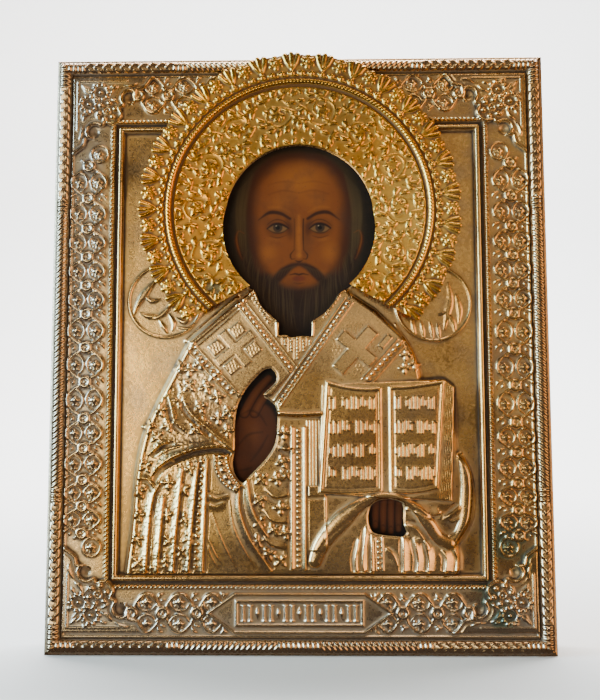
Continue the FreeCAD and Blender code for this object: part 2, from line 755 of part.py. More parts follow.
DRAPE_SHARES = (
    (0.045, 0.155), (0.090, 0.190), (0.161, 0.222), (0.241, 0.248), (0.330, 0.262), (0.410, 0.250),
    (0.477, 0.223), (0.531, 0.186))
DRAPE_LOOP_SHARES = (
    (0.548, 0.186), (0.597, 0.190), (0.638, 0.214), (0.653, 0.255), (0.651, 0.295), (0.624, 0.321))
# Folds are centre lines with a share of the fold width
FOLD_LINE_SHARES = (
    ("centre_band", ((-0.002, 0.140), (-0.001, 0.255), (-0.002, 0.370)), 1.8),
    ("sleeve_band", ((-0.405, 0.140), (-0.402, 0.230), (-0.390, 0.318)), 1.4),
    ("left_fold", ((-0.575, 0.140), (-0.568, 0.220), (-0.540, 0.290)), 1.1),
    ("second_left_fold", ((-0.512, 0.140), (-0.508, 0.225), (-0.495, 0.304)), 0.9),
    ("third_left_fold", ((-0.459, 0.140), (-0.456, 0.228), (-0.446, 0.314)), 0.9),
    ("elbow_fold", ((-0.600, 0.305), (-0.530, 0.340), (-0.440, 0.355), (-0.330, 0.352)), 1.0),
    ("arm_fold", ((-0.472, 0.440), (-0.445, 0.400), (-0.370, 0.368), (-0.280, 0.350)), 1.1),
    ("hem_rib", ((-0.232, 0.258), (-0.223, 0.225), (-0.178, 0.180), (-0.107, 0.142)), 1.0),
    ("second_hem_rib", ((-0.276, 0.247), (-0.267, 0.210), (-0.223, 0.169), (-0.169, 0.142)), 0.8),
    ("cuff", ((-0.338, 0.321), (-0.305, 0.290), (-0.245, 0.266)), 1.9),
    ("pleat", ((0.052, 0.272), (0.055, 0.320), (0.052, 0.374)), 1.5),
    ("right_fold", ((0.245, 0.142), (0.262, 0.165), (0.272, 0.186)), 0.9),
    ("second_right_fold", ((0.402, 0.142), (0.404, 0.160), (0.402, 0.180)), 0.9),
    ("third_right_fold", ((0.464, 0.142), (0.462, 0.165), (0.450, 0.190)), 0.9),
    ("fourth_right_fold", ((0.520, 0.142), (0.515, 0.155), (0.505, 0.168)), 0.9))
FACE_BELOW_SHARES = (
    ((0.280, 0.660), (-0.280, 0.660)), ((-0.280, 0.660), (-0.232, 0.619)),
    ((-0.232, 0.619), (-0.179, 0.597), (-0.152, 0.571), (-0.107, 0.552), (-0.080, 0.541)),
    ((-0.080, 0.541), (-0.080, 0.520)), ((-0.080, 0.520), (0.050, 0.518)), ((0.050, 0.518), (0.051, 0.543)),
    ((0.051, 0.543), (0.072, 0.548), (0.108, 0.559), (0.143, 0.578), (0.170, 0.597), (0.233, 0.619)),
    ((0.233, 0.619), (0.280, 0.660)))
RAISED_HAND_SHARES = (
    ((-0.110, 0.466), (-0.089, 0.452), (-0.098, 0.440), (-0.125, 0.429), (-0.139, 0.421)),
    ((-0.139, 0.421), (-0.116, 0.412), (-0.094, 0.403), (-0.086, 0.385), (-0.094, 0.344), (-0.116, 0.325),
     (-0.152, 0.306), (-0.188, 0.291), (-0.219, 0.276)),
    ((-0.219, 0.276), (-0.255, 0.295), (-0.262, 0.312), (-0.255, 0.350), (-0.252, 0.385), (-0.235, 0.412),
     (-0.205, 0.433), (-0.161, 0.455), (-0.110, 0.466)))
BOOK_HAND_SHARES = (
    ((0.269, 0.225), (0.273, 0.208), (0.288, 0.197), (0.322, 0.193), (0.403, 0.191), (0.421, 0.198)),
    ((0.421, 0.198), (0.408, 0.210), (0.405, 0.221), (0.407, 0.236), (0.403, 0.245)),
    ((0.403, 0.245), (0.376, 0.250), (0.340, 0.252), (0.304, 0.249), (0.279, 0.240), (0.269, 0.225)))
MEDALLION_PLACE_SHARES = ((-0.539, 0.579), (0.539, 0.573))
CARTOUCHE_SHARES = (
    (-0.250, 0.100), (0.251, 0.100), (0.367, 0.068), (0.251, 0.035), (-0.250, 0.035), (-0.367, 0.068))
PLAQUE_SHARES = ((-0.237, 0.086), (0.240, 0.086), (0.240, 0.049), (-0.237, 0.049))
# Half of a corner spandrel, from the frame line in to the diagonal, as shares of its reach
SPANDREL_HALF_SHARES = (
    ((0.985, 0.000), (0.985, 0.050)), ((0.985, 0.050), (0.910, 0.080), (0.830, 0.145)),
    ((0.830, 0.145), (0.765, 0.160)), ((0.765, 0.160), (0.800, 0.220), (0.785, 0.300), (0.700, 0.345)),
    ((0.700, 0.345), (0.590, 0.360)), ((0.590, 0.360), (0.618, 0.460), (0.576, 0.576)))


def arc_outline(centre, radius):
    """A round outline as two smooth halves."""
    turn = math.pi / HALF_CIRCLE_STEPS
    ring = [(centre[0] + radius * math.cos(turn * step), centre[1] + radius * math.sin(turn * step))
            for step in range(2 * HALF_CIRCLE_STEPS)]
    return [tuple(ring[:HALF_CIRCLE_STEPS + 1]), tuple(ring[HALF_CIRCLE_STEPS:] + ring[:1])]


def stole_cross(centre, size, turn):
    """A cross with equal arms, each as wide as a third of its span."""
    span, arm = size, size / 3
    corners = ((arm, span), (-arm, span), (-arm, arm), (-span, arm), (-span, -arm), (-arm, -arm),
               (-arm, -span), (arm, -span), (arm, -arm), (span, -arm), (span, arm), (arm, arm))
    across, along = math.cos(math.radians(turn)), math.sin(math.radians(turn))
    spots = [(centre[0] + x * across - z * along, centre[1] + x * along + z * across) for x, z in corners]
    return [(spot, spots[(index + 1) % len(spots)]) for index, spot in enumerate(spots)]


def spandrel(side, top):
    """A scrolled corner piece: half of it mirrored about the corner's diagonal."""
    half = list(SPANDREL_HALF_SHARES)
    mirrored = [tuple((down, across) for across, down in reversed(run)) for run in reversed(half)]
    tip = half[0][0]
    gap = (sizes.rope_margin + 2 * sizes.rope_radius + sizes.groove_width + sizes.line_width
           + sizes.sheet_thickness / 2)
    runs = half + mirrored + [((0.0, tip[0]), (0.0, 0.0)), ((0.0, 0.0), tip)]

    def corner(point):
        across = side * (sizes.cover_width / 2 - gap - point[0] * sizes.spandrel_reach)
        from_edge = gap + point[1] * sizes.spandrel_reach
        return across, sizes.cover_height - from_edge if top else from_edge

    return [tuple(corner(point) for point in run) for run in runs]


def bud(across, up, level, size, rise):
    """A faceted bud on the sheet: a blunt pyramid with its corners up, down and to the sides."""
    rings = []
    for share, height in ((1, 0), (BUD_TOP_SHARE, rise)):
        reach = size / 2 * share
        spots = [FreeCAD.Vector(across + x * reach, -level - height, up + z * reach)
                 for x, z in ((1, 0), (0, 1), (-1, 0), (0, -1), (1, 0))]
        rings.append(Part.makePolygon(spots))
    return Part.makeLoft(rings, True, True)


def band_buds():
    """Two rows of buds along each side band, and two at the ends of the lower and upper bands."""
    sheet = sizes.sheet_thickness
    level = sizes.band_level - sheet / 2
    side_middle = (sizes.cover_width / 2 - worth(LINE_INSET) + worth(f"field_width / 2 + {BAND_START}")) / 2
    end_middle = (worth(LINE_INSET) + worth(f"{FIELD_LOW} - {BAND_START}")) / 2
    buds = []
    for side in (-1, 1):
        for row in (-1, 1):
            for place in range(int(sizes.side_bud_count)):
                across = side * (side_middle + row * sizes.bud_row_offset)
                up = sizes.side_bud_start + place * sizes.bud_pitch + row * sizes.bud_stagger
                buds.append(bud(across, up, level, sizes.bud_size, sizes.bud_height + sheet / 2))
            for place in range(int(sizes.end_bud_count)):
                across = side * (sizes.end_bud_start - place * sizes.bud_pitch - row * sizes.bud_stagger)
                for middle in (end_middle, sizes.cover_height - end_middle):
                    buds.append(bud(across, middle + row * sizes.bud_row_offset, level, sizes.bud_size,
                                    sizes.bud_height + sheet / 2))
    return Part.Compound(buds)


def cover():
    """Every moulding and form of the sheet joined, less the hollows behind them and the openings."""
    base = [edge_moulding(), field_moulding(), band_plate(),
            plate("field_ground", "(field_width / 2 - band_lip)", f"({FIELD_LOW} + band_lip)",
                  f"({FIELD_HIGH} - band_lip)", "sheet_thickness")]
    press("figure", smooth(*FIGURE_SHARES), sizes.figure_level, sizes.figure_slope, True)
    press("left_sleeve", smooth(*LEFT_SLEEVE_SHARES), sizes.sleeve_level)
    press("stole_left", straight(STOLE_LEFT_SHARES), sizes.stole_level)
    press("stole_right", straight(STOLE_RIGHT_SHARES), sizes.stole_level)
    press("collar", straight(COLLAR_SHARES), sizes.collar_level)
    turns = {"cross_left": sizes.left_cross_turn, "cross_right": sizes.right_cross_turn}
    for (name, turn), shares in zip(turns.items(), CROSS_PLACE_SHARES):
        add_ridge(name, stole_cross(place_on_front(shares), sizes.stole_cross_size, turn), sizes.stole_level,
                  sizes.cross_level, sizes.sheet_thickness)
    for name, points, share in FOLD_LINE_SHARES:
        line = [place_on_front(point) for point in points]
        add_ridge(name, strip(line, sizes.fold_width * share), sizes.figure_level, sizes.fold_level,
                  sizes.fold_slope)
    press("book_block", straight(BOOK_BLOCK_SHARES), sizes.block_level)
    press("left_page", smooth(*LEFT_PAGE_SHARES), sizes.page_level)
    press("right_page", smooth(*RIGHT_PAGE_SHARES), sizes.page_level)
    drape = [place_on_front(point) for point in DRAPE_SHARES]
    press("drape", strip(drape, sizes.drape_width), sizes.drape_level, sizes.drape_slope, True)
    loop = [place_on_front(point) for point in DRAPE_LOOP_SHARES]
    press("drape_loop", strip(loop, sizes.drape_loop_width), sizes.drape_level, None, True)
    for name, shares in zip(("left_medallion", "right_medallion"), MEDALLION_PLACE_SHARES):
        press(name, arc_outline(place_on_front(shares), sizes.medallion_radius), sizes.medallion_level)
    for name, side, top in (("top_left", -1, True), ("top_right", 1, True), ("bottom_left", -1, False),
                            ("bottom_right", 1, False)):
        add_ridge(f"{name}_spandrel", spandrel(side, top), sizes.band_level, sizes.spandrel_level)
    add_ridge("cartouche", straight(CARTOUCHE_SHARES), sizes.band_level, sizes.cartouche_level)
    recess = Part.Face(wire(straight(PLAQUE_SHARES), sizes.plaque_level))
    hollow_forms.append(recess.extrude(FreeCAD.Vector(0, -sizes.cartouche_level, 0)))
    head = place_on_front(HEAD_CENTRE_SHARES)
    cut_through("face_opening", arc_outline(head, sizes.head_radius + sizes.head_clearance),
                sizes.nimbus_level)
    cut_through("chin_opening", smooth(*FACE_BELOW_SHARES), sizes.nimbus_level)
    cut_through("raised_hand_opening", smooth(*RAISED_HAND_SHARES), sizes.page_level)
    cut_through("book_hand_opening", smooth(*BOOK_HAND_SHARES), sizes.page_level)
    doc.recompute()
    shape = base[0].Shape.fuse([part.Shape for part in base[1:]]).fuse(band_buds())
    for form in raised_forms:
        shape = shape.fuse(form)
    for form in hollow_forms + [cover_nail_holes()]:
        shape = shape.cut(form)
    pressed = doc.addObject("Part::Feature", "cover")
    pressed.Shape = shape
    return pressed


def rod(place, along, turn=0):
    """A square rod as wide as a nail hole: from a place, along a direction, through what sheet it meets."""
    half = worth(HALF_HOLE)
    box = Part.makeBox(half * 2, half * 2, sizes.nail_length, FreeCAD.Vector(-half, -half, 0))
    box.rotate(FreeCAD.Vector(), FreeCAD.Vector(0, 0, 1), turn)
    box.Placement = FreeCAD.Placement(place, FreeCAD.Rotation(FreeCAD.Vector(0, 0, 1), along)) * box.Placement
    return box


def nimbus_hole_rods(back):
    rods = []
    for across, up, turn in nimbus_nail_places():
        place = FreeCAD.Vector(worth(across), back, worth(up))
        rods.append(rod(place, FreeCAD.Vector(0, -1, 0), worth(turn)))
    return rods


def cover_nail_holes():
    """Holes for the skirt nails and for the nimbus nails that pass through to the board."""
    rods = nimbus_hole_rods(sizes.hole_reach)
    level, reach = sizes.nail_row_level, sizes.hole_reach
    for step in row_places("side_nail_count", "side_nail_step"):
        for side in (-1, 1):
            inner = FreeCAD.Vector(side * (sizes.cover_width / 2 - reach), level,
                                   sizes.cover_height / 2 + worth(step))
            rods.append(rod(inner, FreeCAD.Vector(side, 0, 0)))
    for step in row_places("top_nail_count", "top_nail_step"):
        inner = FreeCAD.Vector(worth(step), level, sizes.cover_height - reach)
        rods.append(rod(inner, FreeCAD.Vector(0, 0, 1)))
    return Part.Compound(rods)


# The nimbus: a separate plate with a scalloped rim, whose ends are cut along the shoulders

SHOULDER_CUT_SHARES = (
    (-0.750, 0.471), (-0.186, 0.606), (0.201, 0.606), (0.765, 0.471), (0.765, 0.300), (-0.750, 0.300))


def polar(centre, radius, degrees, level):
    angle = math.radians(degrees)
    return FreeCAD.Vector(centre[0] + radius * math.cos(angle), -level, centre[1] + radius * math.sin(angle))


def nimbus_rim(centre):
    """A scalloped disc: wide palmette lobes between lower rosette lobes."""
    lobes = 2 * int(sizes.nimbus_units)
    turn = 360 / lobes
    level = sizes.nimbus_level
    edges = []
    for lobe in range(lobes):
        start = sizes.rosette_start + (lobe - 0.5) * turn
        crest = sizes.nimbus_radius - (sizes.rosette_inset if lobe % 2 == 0 else 0)
        notch = sizes.nimbus_radius - sizes.nimbus_notch
        first, last = polar(centre, notch, start, level), polar(centre, notch, start + turn, level)
        edges.append(Part.Arc(first, polar(centre, crest, start + turn / 2, level), last).toShape())
    return Part.Face(Part.Wire(edges))


def rosette(middle, radius, front, rise):
    """A blunt pyramid standing on a level."""
    rings = []
    for share, height in ((1, 0), (ROSETTE_TOP_SHARE, rise)):
        turn = 360 / sizes.rosette_sides
        rings.append(Part.makePolygon([
            polar((middle.x, middle.z), radius * share, turn * side, front + height)
            for side in range(int(sizes.rosette_sides) + 1)]))
    return Part.makeLoft(rings, True, True)


def nimbus_relief(centre):
    """Rosettes and palmettes of the rim and the scrolls inside it, standing on the plate."""
    buried = sizes.sheet_thickness / 2
    front = sizes.nimbus_level + buried
    forms = []
    for scroll in range(int(sizes.scroll_count)):
        middle = polar(centre, sizes.scroll_circle, 360 / sizes.scroll_count * scroll, 0)
        forms.append(rosette(middle, sizes.scroll_radius, front, sizes.scroll_height + buried))
    turn = 360 / sizes.nimbus_units
    for unit in range(int(sizes.nimbus_units)):
        middle = polar(centre, sizes.rosette_circle, sizes.rosette_start + unit * turn, 0)
        forms.append(rosette(middle, sizes.rosette_radius, front, sizes.rosette_height + buried))
        direction = sizes.rosette_start + (unit + 0.5) * turn
        root = sizes.nimbus_radius - sizes.nimbus_notch / 2
        rings = []
        for share, rise in ((1, 0), (PALMETTE_TOP_SHARE, sizes.palmette_height + buried)):
            half = math.degrees(sizes.palmette_width / 2 * share / root)
            inner = root - sizes.palmette_length * (1 + share) / 2
            tip = polar(centre, inner, direction, front + rise)
            sides = [polar(centre, root, direction + turned, front + rise) for turned in (-half, half)]
            rings.append(Part.makePolygon([tip] + sides + [tip]))
        forms.append(Part.makeLoft(rings, True, True))
    return Part.Compound(forms)


def half_ring(centre, half_width, front):
    """The front half of a round ring lying on a level, in four facets."""
    steps = [FreeCAD.Vector(sizes.nimbus_ring_radius + half_width * math.cos(math.radians(angle)),
                            -half_width * math.sin(math.radians(angle)), 0) for angle in HALF_ROUND_ANGLES]
    section = Part.Face(Part.makePolygon(steps + steps[:1]))
    ring = section.revolve(FreeCAD.Vector(), FreeCAD.Vector(0, 1, 0), 360)
    ring.translate(FreeCAD.Vector(centre[0], -front, centre[1]))
    return ring


def nimbus():
    """The plate with its pressed ring and rim ornament, opened for the head and cut along the shoulders."""
    centre = place_on_front(NIMBUS_CENTRE_SHARES)
    sheet = sizes.sheet_thickness
    front = sizes.nimbus_level + sheet
    shape = nimbus_rim(centre).extrude(FreeCAD.Vector(0, -sheet, 0))
    shape = shape.fuse(half_ring(centre, sizes.nimbus_ring_half_width, front - sheet / 2))
    shape = shape.fuse(nimbus_relief(centre))
    reach = sizes.nimbus_level + sizes.page_level
    head = arc_outline(place_on_front(HEAD_CENTRE_SHARES), sizes.head_radius)
    cuts = [half_ring(centre, sizes.nimbus_ring_half_width - sheet, sizes.nimbus_level - sheet / 2)]
    for runs in (head, straight(SHOULDER_CUT_SHARES)):
        cuts.append(Part.Face(wire(runs, 0)).extrude(FreeCAD.Vector(0, -reach, 0)))
    for tool in cuts + [Part.Compound(nimbus_hole_rods(0))]:
        shape = shape.cut(tool)
    trimmed = doc.addObject("Part::Feature", "nimbus")
    trimmed.Shape = shape
    return trimmed


pieces = [panel_board(), batten("upper_batten", "upper_batten_height", -1),
          batten("lower_batten", "lower_batten_height", 1), painted_ground(), cover(), nimbus(),
          nimbus_nails(), side_nails("left_skirt_nails", -1), side_nails("right_skirt_nails", 1),
          top_nails(), ring_staple(), hanging_ring()]
doc.recompute()

for feature in doc.Objects:
    if {"Invalid", "Error"} & set(feature.State):
        raise RuntimeError(f"{feature.Name} did not build")
for piece in pieces:
    piece.Label = piece.Name
    if piece.Shape.isNull() or not piece.Shape.isValid():
        raise RuntimeError(f"{piece.Name} has no valid shape")
    piece.Shape.exportStep(f"parts/{piece.Label}.step")
    print(piece.Label, len(piece.Shape.Solids), "solids,", round(piece.Shape.Volume), "cubic mm")
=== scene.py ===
# %% [markdown]
# This scene dresses an icon in its pressed brass cover. The real object is a painted wooden panel. A thin
# sheet of gilt brass, pressed in relief, covers all of the painting but the face and hands, and a second
# plate stands round the head as a nimbus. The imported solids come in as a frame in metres: Z is up and the
# icon faces -Y. Everything that is modelled here rides on one of the frame's bodies.

# %% The frame
import bpy
import math
import numpy as np
from mathutils import Matrix, Vector


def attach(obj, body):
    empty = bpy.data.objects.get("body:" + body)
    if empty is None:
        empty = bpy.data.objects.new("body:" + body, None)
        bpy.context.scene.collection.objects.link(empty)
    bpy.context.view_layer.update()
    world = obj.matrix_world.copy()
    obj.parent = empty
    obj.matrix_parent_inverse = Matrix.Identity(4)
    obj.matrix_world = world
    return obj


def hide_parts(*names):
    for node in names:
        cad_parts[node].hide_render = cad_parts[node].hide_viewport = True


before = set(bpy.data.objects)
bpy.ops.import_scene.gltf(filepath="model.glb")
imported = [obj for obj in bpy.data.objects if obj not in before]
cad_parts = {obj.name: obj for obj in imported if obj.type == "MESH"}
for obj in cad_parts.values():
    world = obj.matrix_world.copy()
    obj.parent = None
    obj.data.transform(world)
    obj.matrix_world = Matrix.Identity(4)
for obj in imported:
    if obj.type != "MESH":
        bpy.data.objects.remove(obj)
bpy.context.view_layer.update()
MM = 0.001


# %% [markdown]
# The photograph was taken from close by, a little below the icon's middle, so its sides lean together
# towards the top. The place and the turn of the camera were worked out from the corners of the cover, whose
# real size is known. A lens of 46 mm gives the same angle of view.

# %% Camera
camera = bpy.data.objects.new("camera", bpy.data.cameras.new("camera"))
bpy.context.scene.collection.objects.link(camera)
camera.data.lens, camera.data.sensor_width = 46.29, 36
camera.data.clip_start, camera.data.clip_end = 0.01, 20
right = Vector((0.99983, 0.01846, -0.00212))
down = Vector((-0.00386, 0.09462, -0.99551))
ahead = Vector((-0.01818, 0.99534, 0.09467))
camera.matrix_world = Matrix((right, -down, -ahead)).transposed().to_4x4()
camera.matrix_world.translation = Vector((7.74, -402.0, 94.94)) * MM
bpy.context.scene.camera = camera
print("camera", round(camera.matrix_world.translation.length, 3), "m from the foot of the icon")


# %% [markdown]
# The icon stands on a plain pale floor that curves up behind it, so no horizon shows. Brass has hardly any
# colour of its own: it shows what is round it. A cool window at the left lights the slopes that face it, and
# a warm room at the right fills the others. Three weak lamps in front and above give the flat parts their
# glow, and the last lamp lights the backdrop only. The metal doesn't mirror the floor, because a pale floor
# at its foot would wash out its colour.

# %% Floor and light
def edit_only(kind, elements, chosen):
    """Enters edit mode with only the chosen vertices, edges or faces of a mesh selected."""
    bpy.ops.object.mode_set(mode="EDIT")
    bpy.ops.mesh.select_mode(type=kind)
    bpy.ops.mesh.select_all(action="DESELECT")
    bpy.ops.object.mode_set(mode="OBJECT")
    elements.foreach_set("select", chosen)
    bpy.ops.object.mode_set(mode="EDIT")


FLOOR_SIZE, FLOOR_MIDDLE, WALL_HEIGHT = (7, 3.6, 1), (0, -0.9, 0), 3.0
BEND_STEPS, BEND_RADIUS = 24, 0.6
bpy.ops.mesh.primitive_plane_add(size=1, location=(0, 0, 0))
floor = bpy.context.object
floor.name = "floor"
bpy.ops.object.mode_set(mode="EDIT")
bpy.ops.transform.resize(value=FLOOR_SIZE)
bpy.ops.transform.translate(value=FLOOR_MIDDLE)
bpy.ops.object.mode_set(mode="OBJECT")
edit_only("EDGE", floor.data.edges,
          [all(floor.data.vertices[corner].co.y > 0 for corner in edge.vertices) for edge in floor.data.edges])
for step in range(BEND_STEPS):
    angle = math.radians(90 * (step + 0.5) / BEND_STEPS)
    reach = math.radians(90 / BEND_STEPS) * BEND_RADIUS
    bpy.ops.mesh.extrude_region_move(TRANSFORM_OT_translate={
        "value": (0, reach * math.cos(angle), reach * math.sin(angle))})
bpy.ops.mesh.extrude_region_move(TRANSFORM_OT_translate={"value": (0, 0, WALL_HEIGHT)})
bpy.ops.mesh.select_all(action="SELECT")
bpy.ops.mesh.normals_make_consistent(inside=False)
bpy.ops.object.mode_set(mode="OBJECT")
bpy.ops.object.shade_smooth()
floor.visible_glossy = False


def area_light(name, place, aim, size, power, colour, spread):
    """A soft rectangular lamp that looks at a point."""
    lamp = bpy.data.objects.new(name, bpy.data.lights.new(name, "AREA"))
    bpy.context.scene.collection.objects.link(lamp)
    lamp.data.shape, lamp.data.size, lamp.data.size_y = "RECTANGLE", *size
    lamp.data.energy, lamp.data.color, lamp.data.spread = power, colour, math.radians(spread)
    lamp.matrix_world = (Vector(aim) - Vector(place)).to_track_quat("-Z", "Y").to_matrix().to_4x4()
    lamp.matrix_world.translation = place


area_light("window", (-1.12, -0.34, 0.30), (0, 0, 0.13), (0.6, 0.8), 19, (0.46, 0.78, 1.0), 120)
area_light("warm_room", (0.98, -0.58, 0.10), (0, 0, 0.12), (0.9, 0.9), 4.0, (1.0, 0.56, 0.22), 120)
area_light("sky_panel", (-0.58, -1.15, 0.14), (0, 0, 0.10), (0.5, 0.5), 1.8, (1.0, 0.90, 0.55), 100)
area_light("far_lamp", (0.24, -1.2, 0.42), (0, 0, 0.15), (0.3, 0.5), 0.13, (1.0, 0.85, 0.5), 100)
area_light("ceiling_lamp", (0.15, -0.45, 1.25), (0, 0, 0.15), (0.7, 0.25), 1.2, (1.0, 0.76, 0.46), 100)
area_light("backdrop_light", (0, 0.5, 1.7), (0, 1.2, 0.0), (2.4, 0.5), 90, (1.0, 1.0, 1.0), 120)
world = bpy.context.scene.world or bpy.data.worlds.new("room")
bpy.context.scene.world = world
world.use_nodes = True
room = world.node_tree.nodes["Background"].inputs
room["Color"].default_value, room["Strength"].default_value = (0.43, 0.36, 0.30, 1), 0.27
print("floor:", len(floor.data.polygons), "faces, lamps:", len(bpy.data.lights))


# %% [markdown]
# Materials are written as sums. A small class wraps one number on a socket, so that an expression such as
# 1 - hollow * 0.5 adds its own Math nodes. A finish is a material together with the one method that adds
# any other node: its settings come first and then what its sockets hold.

# %% Sums on sockets
class Number:
    """A number on a socket. Sums of numbers add Math nodes."""

    def __init__(self, finish, socket):
        self.finish, self.socket = finish, socket

    def sum(self, operation, *others):
        """The result of one Math node."""
        node = self.finish.add("ShaderNodeMath", {"operation": operation}, dict(enumerate(others)))
        return Number(self.finish, node.outputs[0])

    def __add__(self, other): return self.sum("ADD", self, other)
    def __radd__(self, other): return self.sum("ADD", other, self)
    def __sub__(self, other): return self.sum("SUBTRACT", self, other)
    def __rsub__(self, other): return self.sum("SUBTRACT", other, self)
    def __mul__(self, other): return self.sum("MULTIPLY", self, other)
    def __truediv__(self, other): return self.sum("DIVIDE", self, other)
    def __pow__(self, other): return self.sum("POWER", self, other)

    def held(self):
        """The number kept from 0 to 1."""
        node = self.finish.add("ShaderNodeClamp", {}, {"Value": self})
        return Number(self.finish, node.outputs[0])

    def between(self, low, high):
        """0 up to low, 1 from high on, and smooth between."""
        node = self.finish.add("ShaderNodeMapRange", {"interpolation_type": "SMOOTHSTEP"},
                               {"Value": self, "From Min": low, "From Max": high})
        return Number(self.finish, node.outputs[0])


class Finish:
    """A material for one of the icon's finishes."""

    def __init__(self, name, **numbers):
        self.material = bpy.data.materials.new(name)
        self.material.use_nodes = True
        self.tree = self.material.node_tree
        self.shader = self.tree.nodes["Principled BSDF"]
        self.place = self.add("ShaderNodeTexCoord").outputs["Object"]
        self.coat(**numbers)

    def feed(self, socket, value):
        """Links a socket to what gives its value, or sets the value itself."""
        if isinstance(value, Number):
            value = value.socket
        if isinstance(value, bpy.types.NodeSocket):
            self.tree.links.new(value, socket)
        elif isinstance(value, tuple) and len(value) == 3 and socket.type == "RGBA":
            socket.default_value = (*value, 1)
        else:
            socket.default_value = value

    def add(self, kind, settings=None, sockets=None):
        """Adds a node of a kind, with its settings and then its sockets."""
        node = self.tree.nodes.new(kind)
        for name, value in (settings or {}).items():
            setattr(node, name, value)
        for name, value in (sockets or {}).items():
            self.feed(node.inputs[name], value)
        return node

    def noise(self, size, detail, stretch=(1, 1, 1), sharpness=0.5):
        """Cloudy noise whose patches are about a size across, in millimetres."""
        spread = self.add("ShaderNodeVectorMath", {"operation": "MULTIPLY"}, {0: self.place, 1: stretch})
        node = self.add("ShaderNodeTexNoise", {}, {"Vector": spread.outputs[0], "Scale": 1 / (size * MM),
                                                   "Detail": detail, "Roughness": sharpness})
        return Number(self, node.outputs["Fac"])

    def reading(self, name):
        """A number that the mesh carries at each point."""
        return Number(self, self.add("ShaderNodeAttribute", {"attribute_name": name}).outputs["Fac"])

    def blend(self, share, first, second):
        """A colour between two colours."""
        node = self.add("ShaderNodeMix", {"data_type": "RGBA", "clamp_factor": True}, {0: share, 6: first, 7: second})
        return node.outputs[2]

    def bump(self, height, distance):
        """Small unevenness, with a height in millimetres."""
        node = self.add("ShaderNodeBump", {}, {"Height": height, "Distance": distance * MM, "Strength": 1.0})
        self.feed(self.shader.inputs["Normal"], node.outputs[0])

    def coat(self, **sockets):
        """Feeds the shader's own sockets, which are written with _ for each space."""
        for socket, value in sockets.items():
            self.feed(self.shader.inputs[socket.replace("_", " ")], value)


print("node materials are ready to be written as sums")


# %% [markdown]
# The cover is one sheet of thin brass that was pressed over a carved die, so every form on it is a change of
# level in a single surface. Modelling each bead as its own object would leave seams that the real sheet
# doesn't have. So we work out the die first, as a grid of levels in millimetres in front of the painting,
# and later press a fine grid mesh over it. The helpers below are the carver's tools: a stroke along a curve,
# a stud, a ring and an outline with sloping walls.

# %% The carver's tools
def ease(share):
    """Runs from 0 to 1 with soft ends as share does."""
    share = np.clip(share, 0, 1)
    return share * share * (3 - 2 * share)


def rounded(distance, half):
    """The rise of a half round of that half width, from 0 at its edge to 1 at its crest."""
    return np.sqrt(np.clip(1 - (distance / half) ** 2, 0, 1))


def curve(points, gap=0.6):
    """A smooth line through points, as many short steps."""
    points = np.asarray(points, float)
    if len(points) < 3:
        return points
    ends = np.vstack([2 * points[0] - points[1], points, 2 * points[-1] - points[-2]])
    steps = []
    for a, b, c, d in zip(ends, ends[1:], ends[2:], ends[3:]):
        count = max(int(math.dist(b, c) / gap), 1)
        t = (np.arange(count) / count)[:, None]
        steps.append(0.5 * (2 * b + (c - a) * t + (2 * a - 5 * b + 4 * c - d) * t ** 2
                            + (3 * b - 3 * c + d - a) * t ** 3))
    return np.vstack(steps + [points[-1:]])


def outline(*runs):
    """A closed outline of runs that share their corners: two points are straight, more are smooth."""
    return np.vstack([curve(run)[:-1] for run in runs])


def polar(place, turn, reach):
    """The point in a direction from a place, at a distance."""
    return place[0] + reach * math.cos(math.radians(turn)), place[1] + reach * math.sin(math.radians(turn))


def turned(points, place, degrees):
    """Points turned and moved to a place."""
    c, s = math.cos(math.radians(degrees)), math.sin(math.radians(degrees))
    return np.asarray(points, float) @ np.array([[c, s], [-s, c]]) + place


def narrowing(share, ends, over):
    """The width along a line, which starts and stops at a share of the full width and is full further in."""
    start, stop = ends
    width = np.minimum(start + (1 - start) * share / over, stop + (1 - stop) * (1 - share) / over)
    return np.clip(width, 0.05, 1)


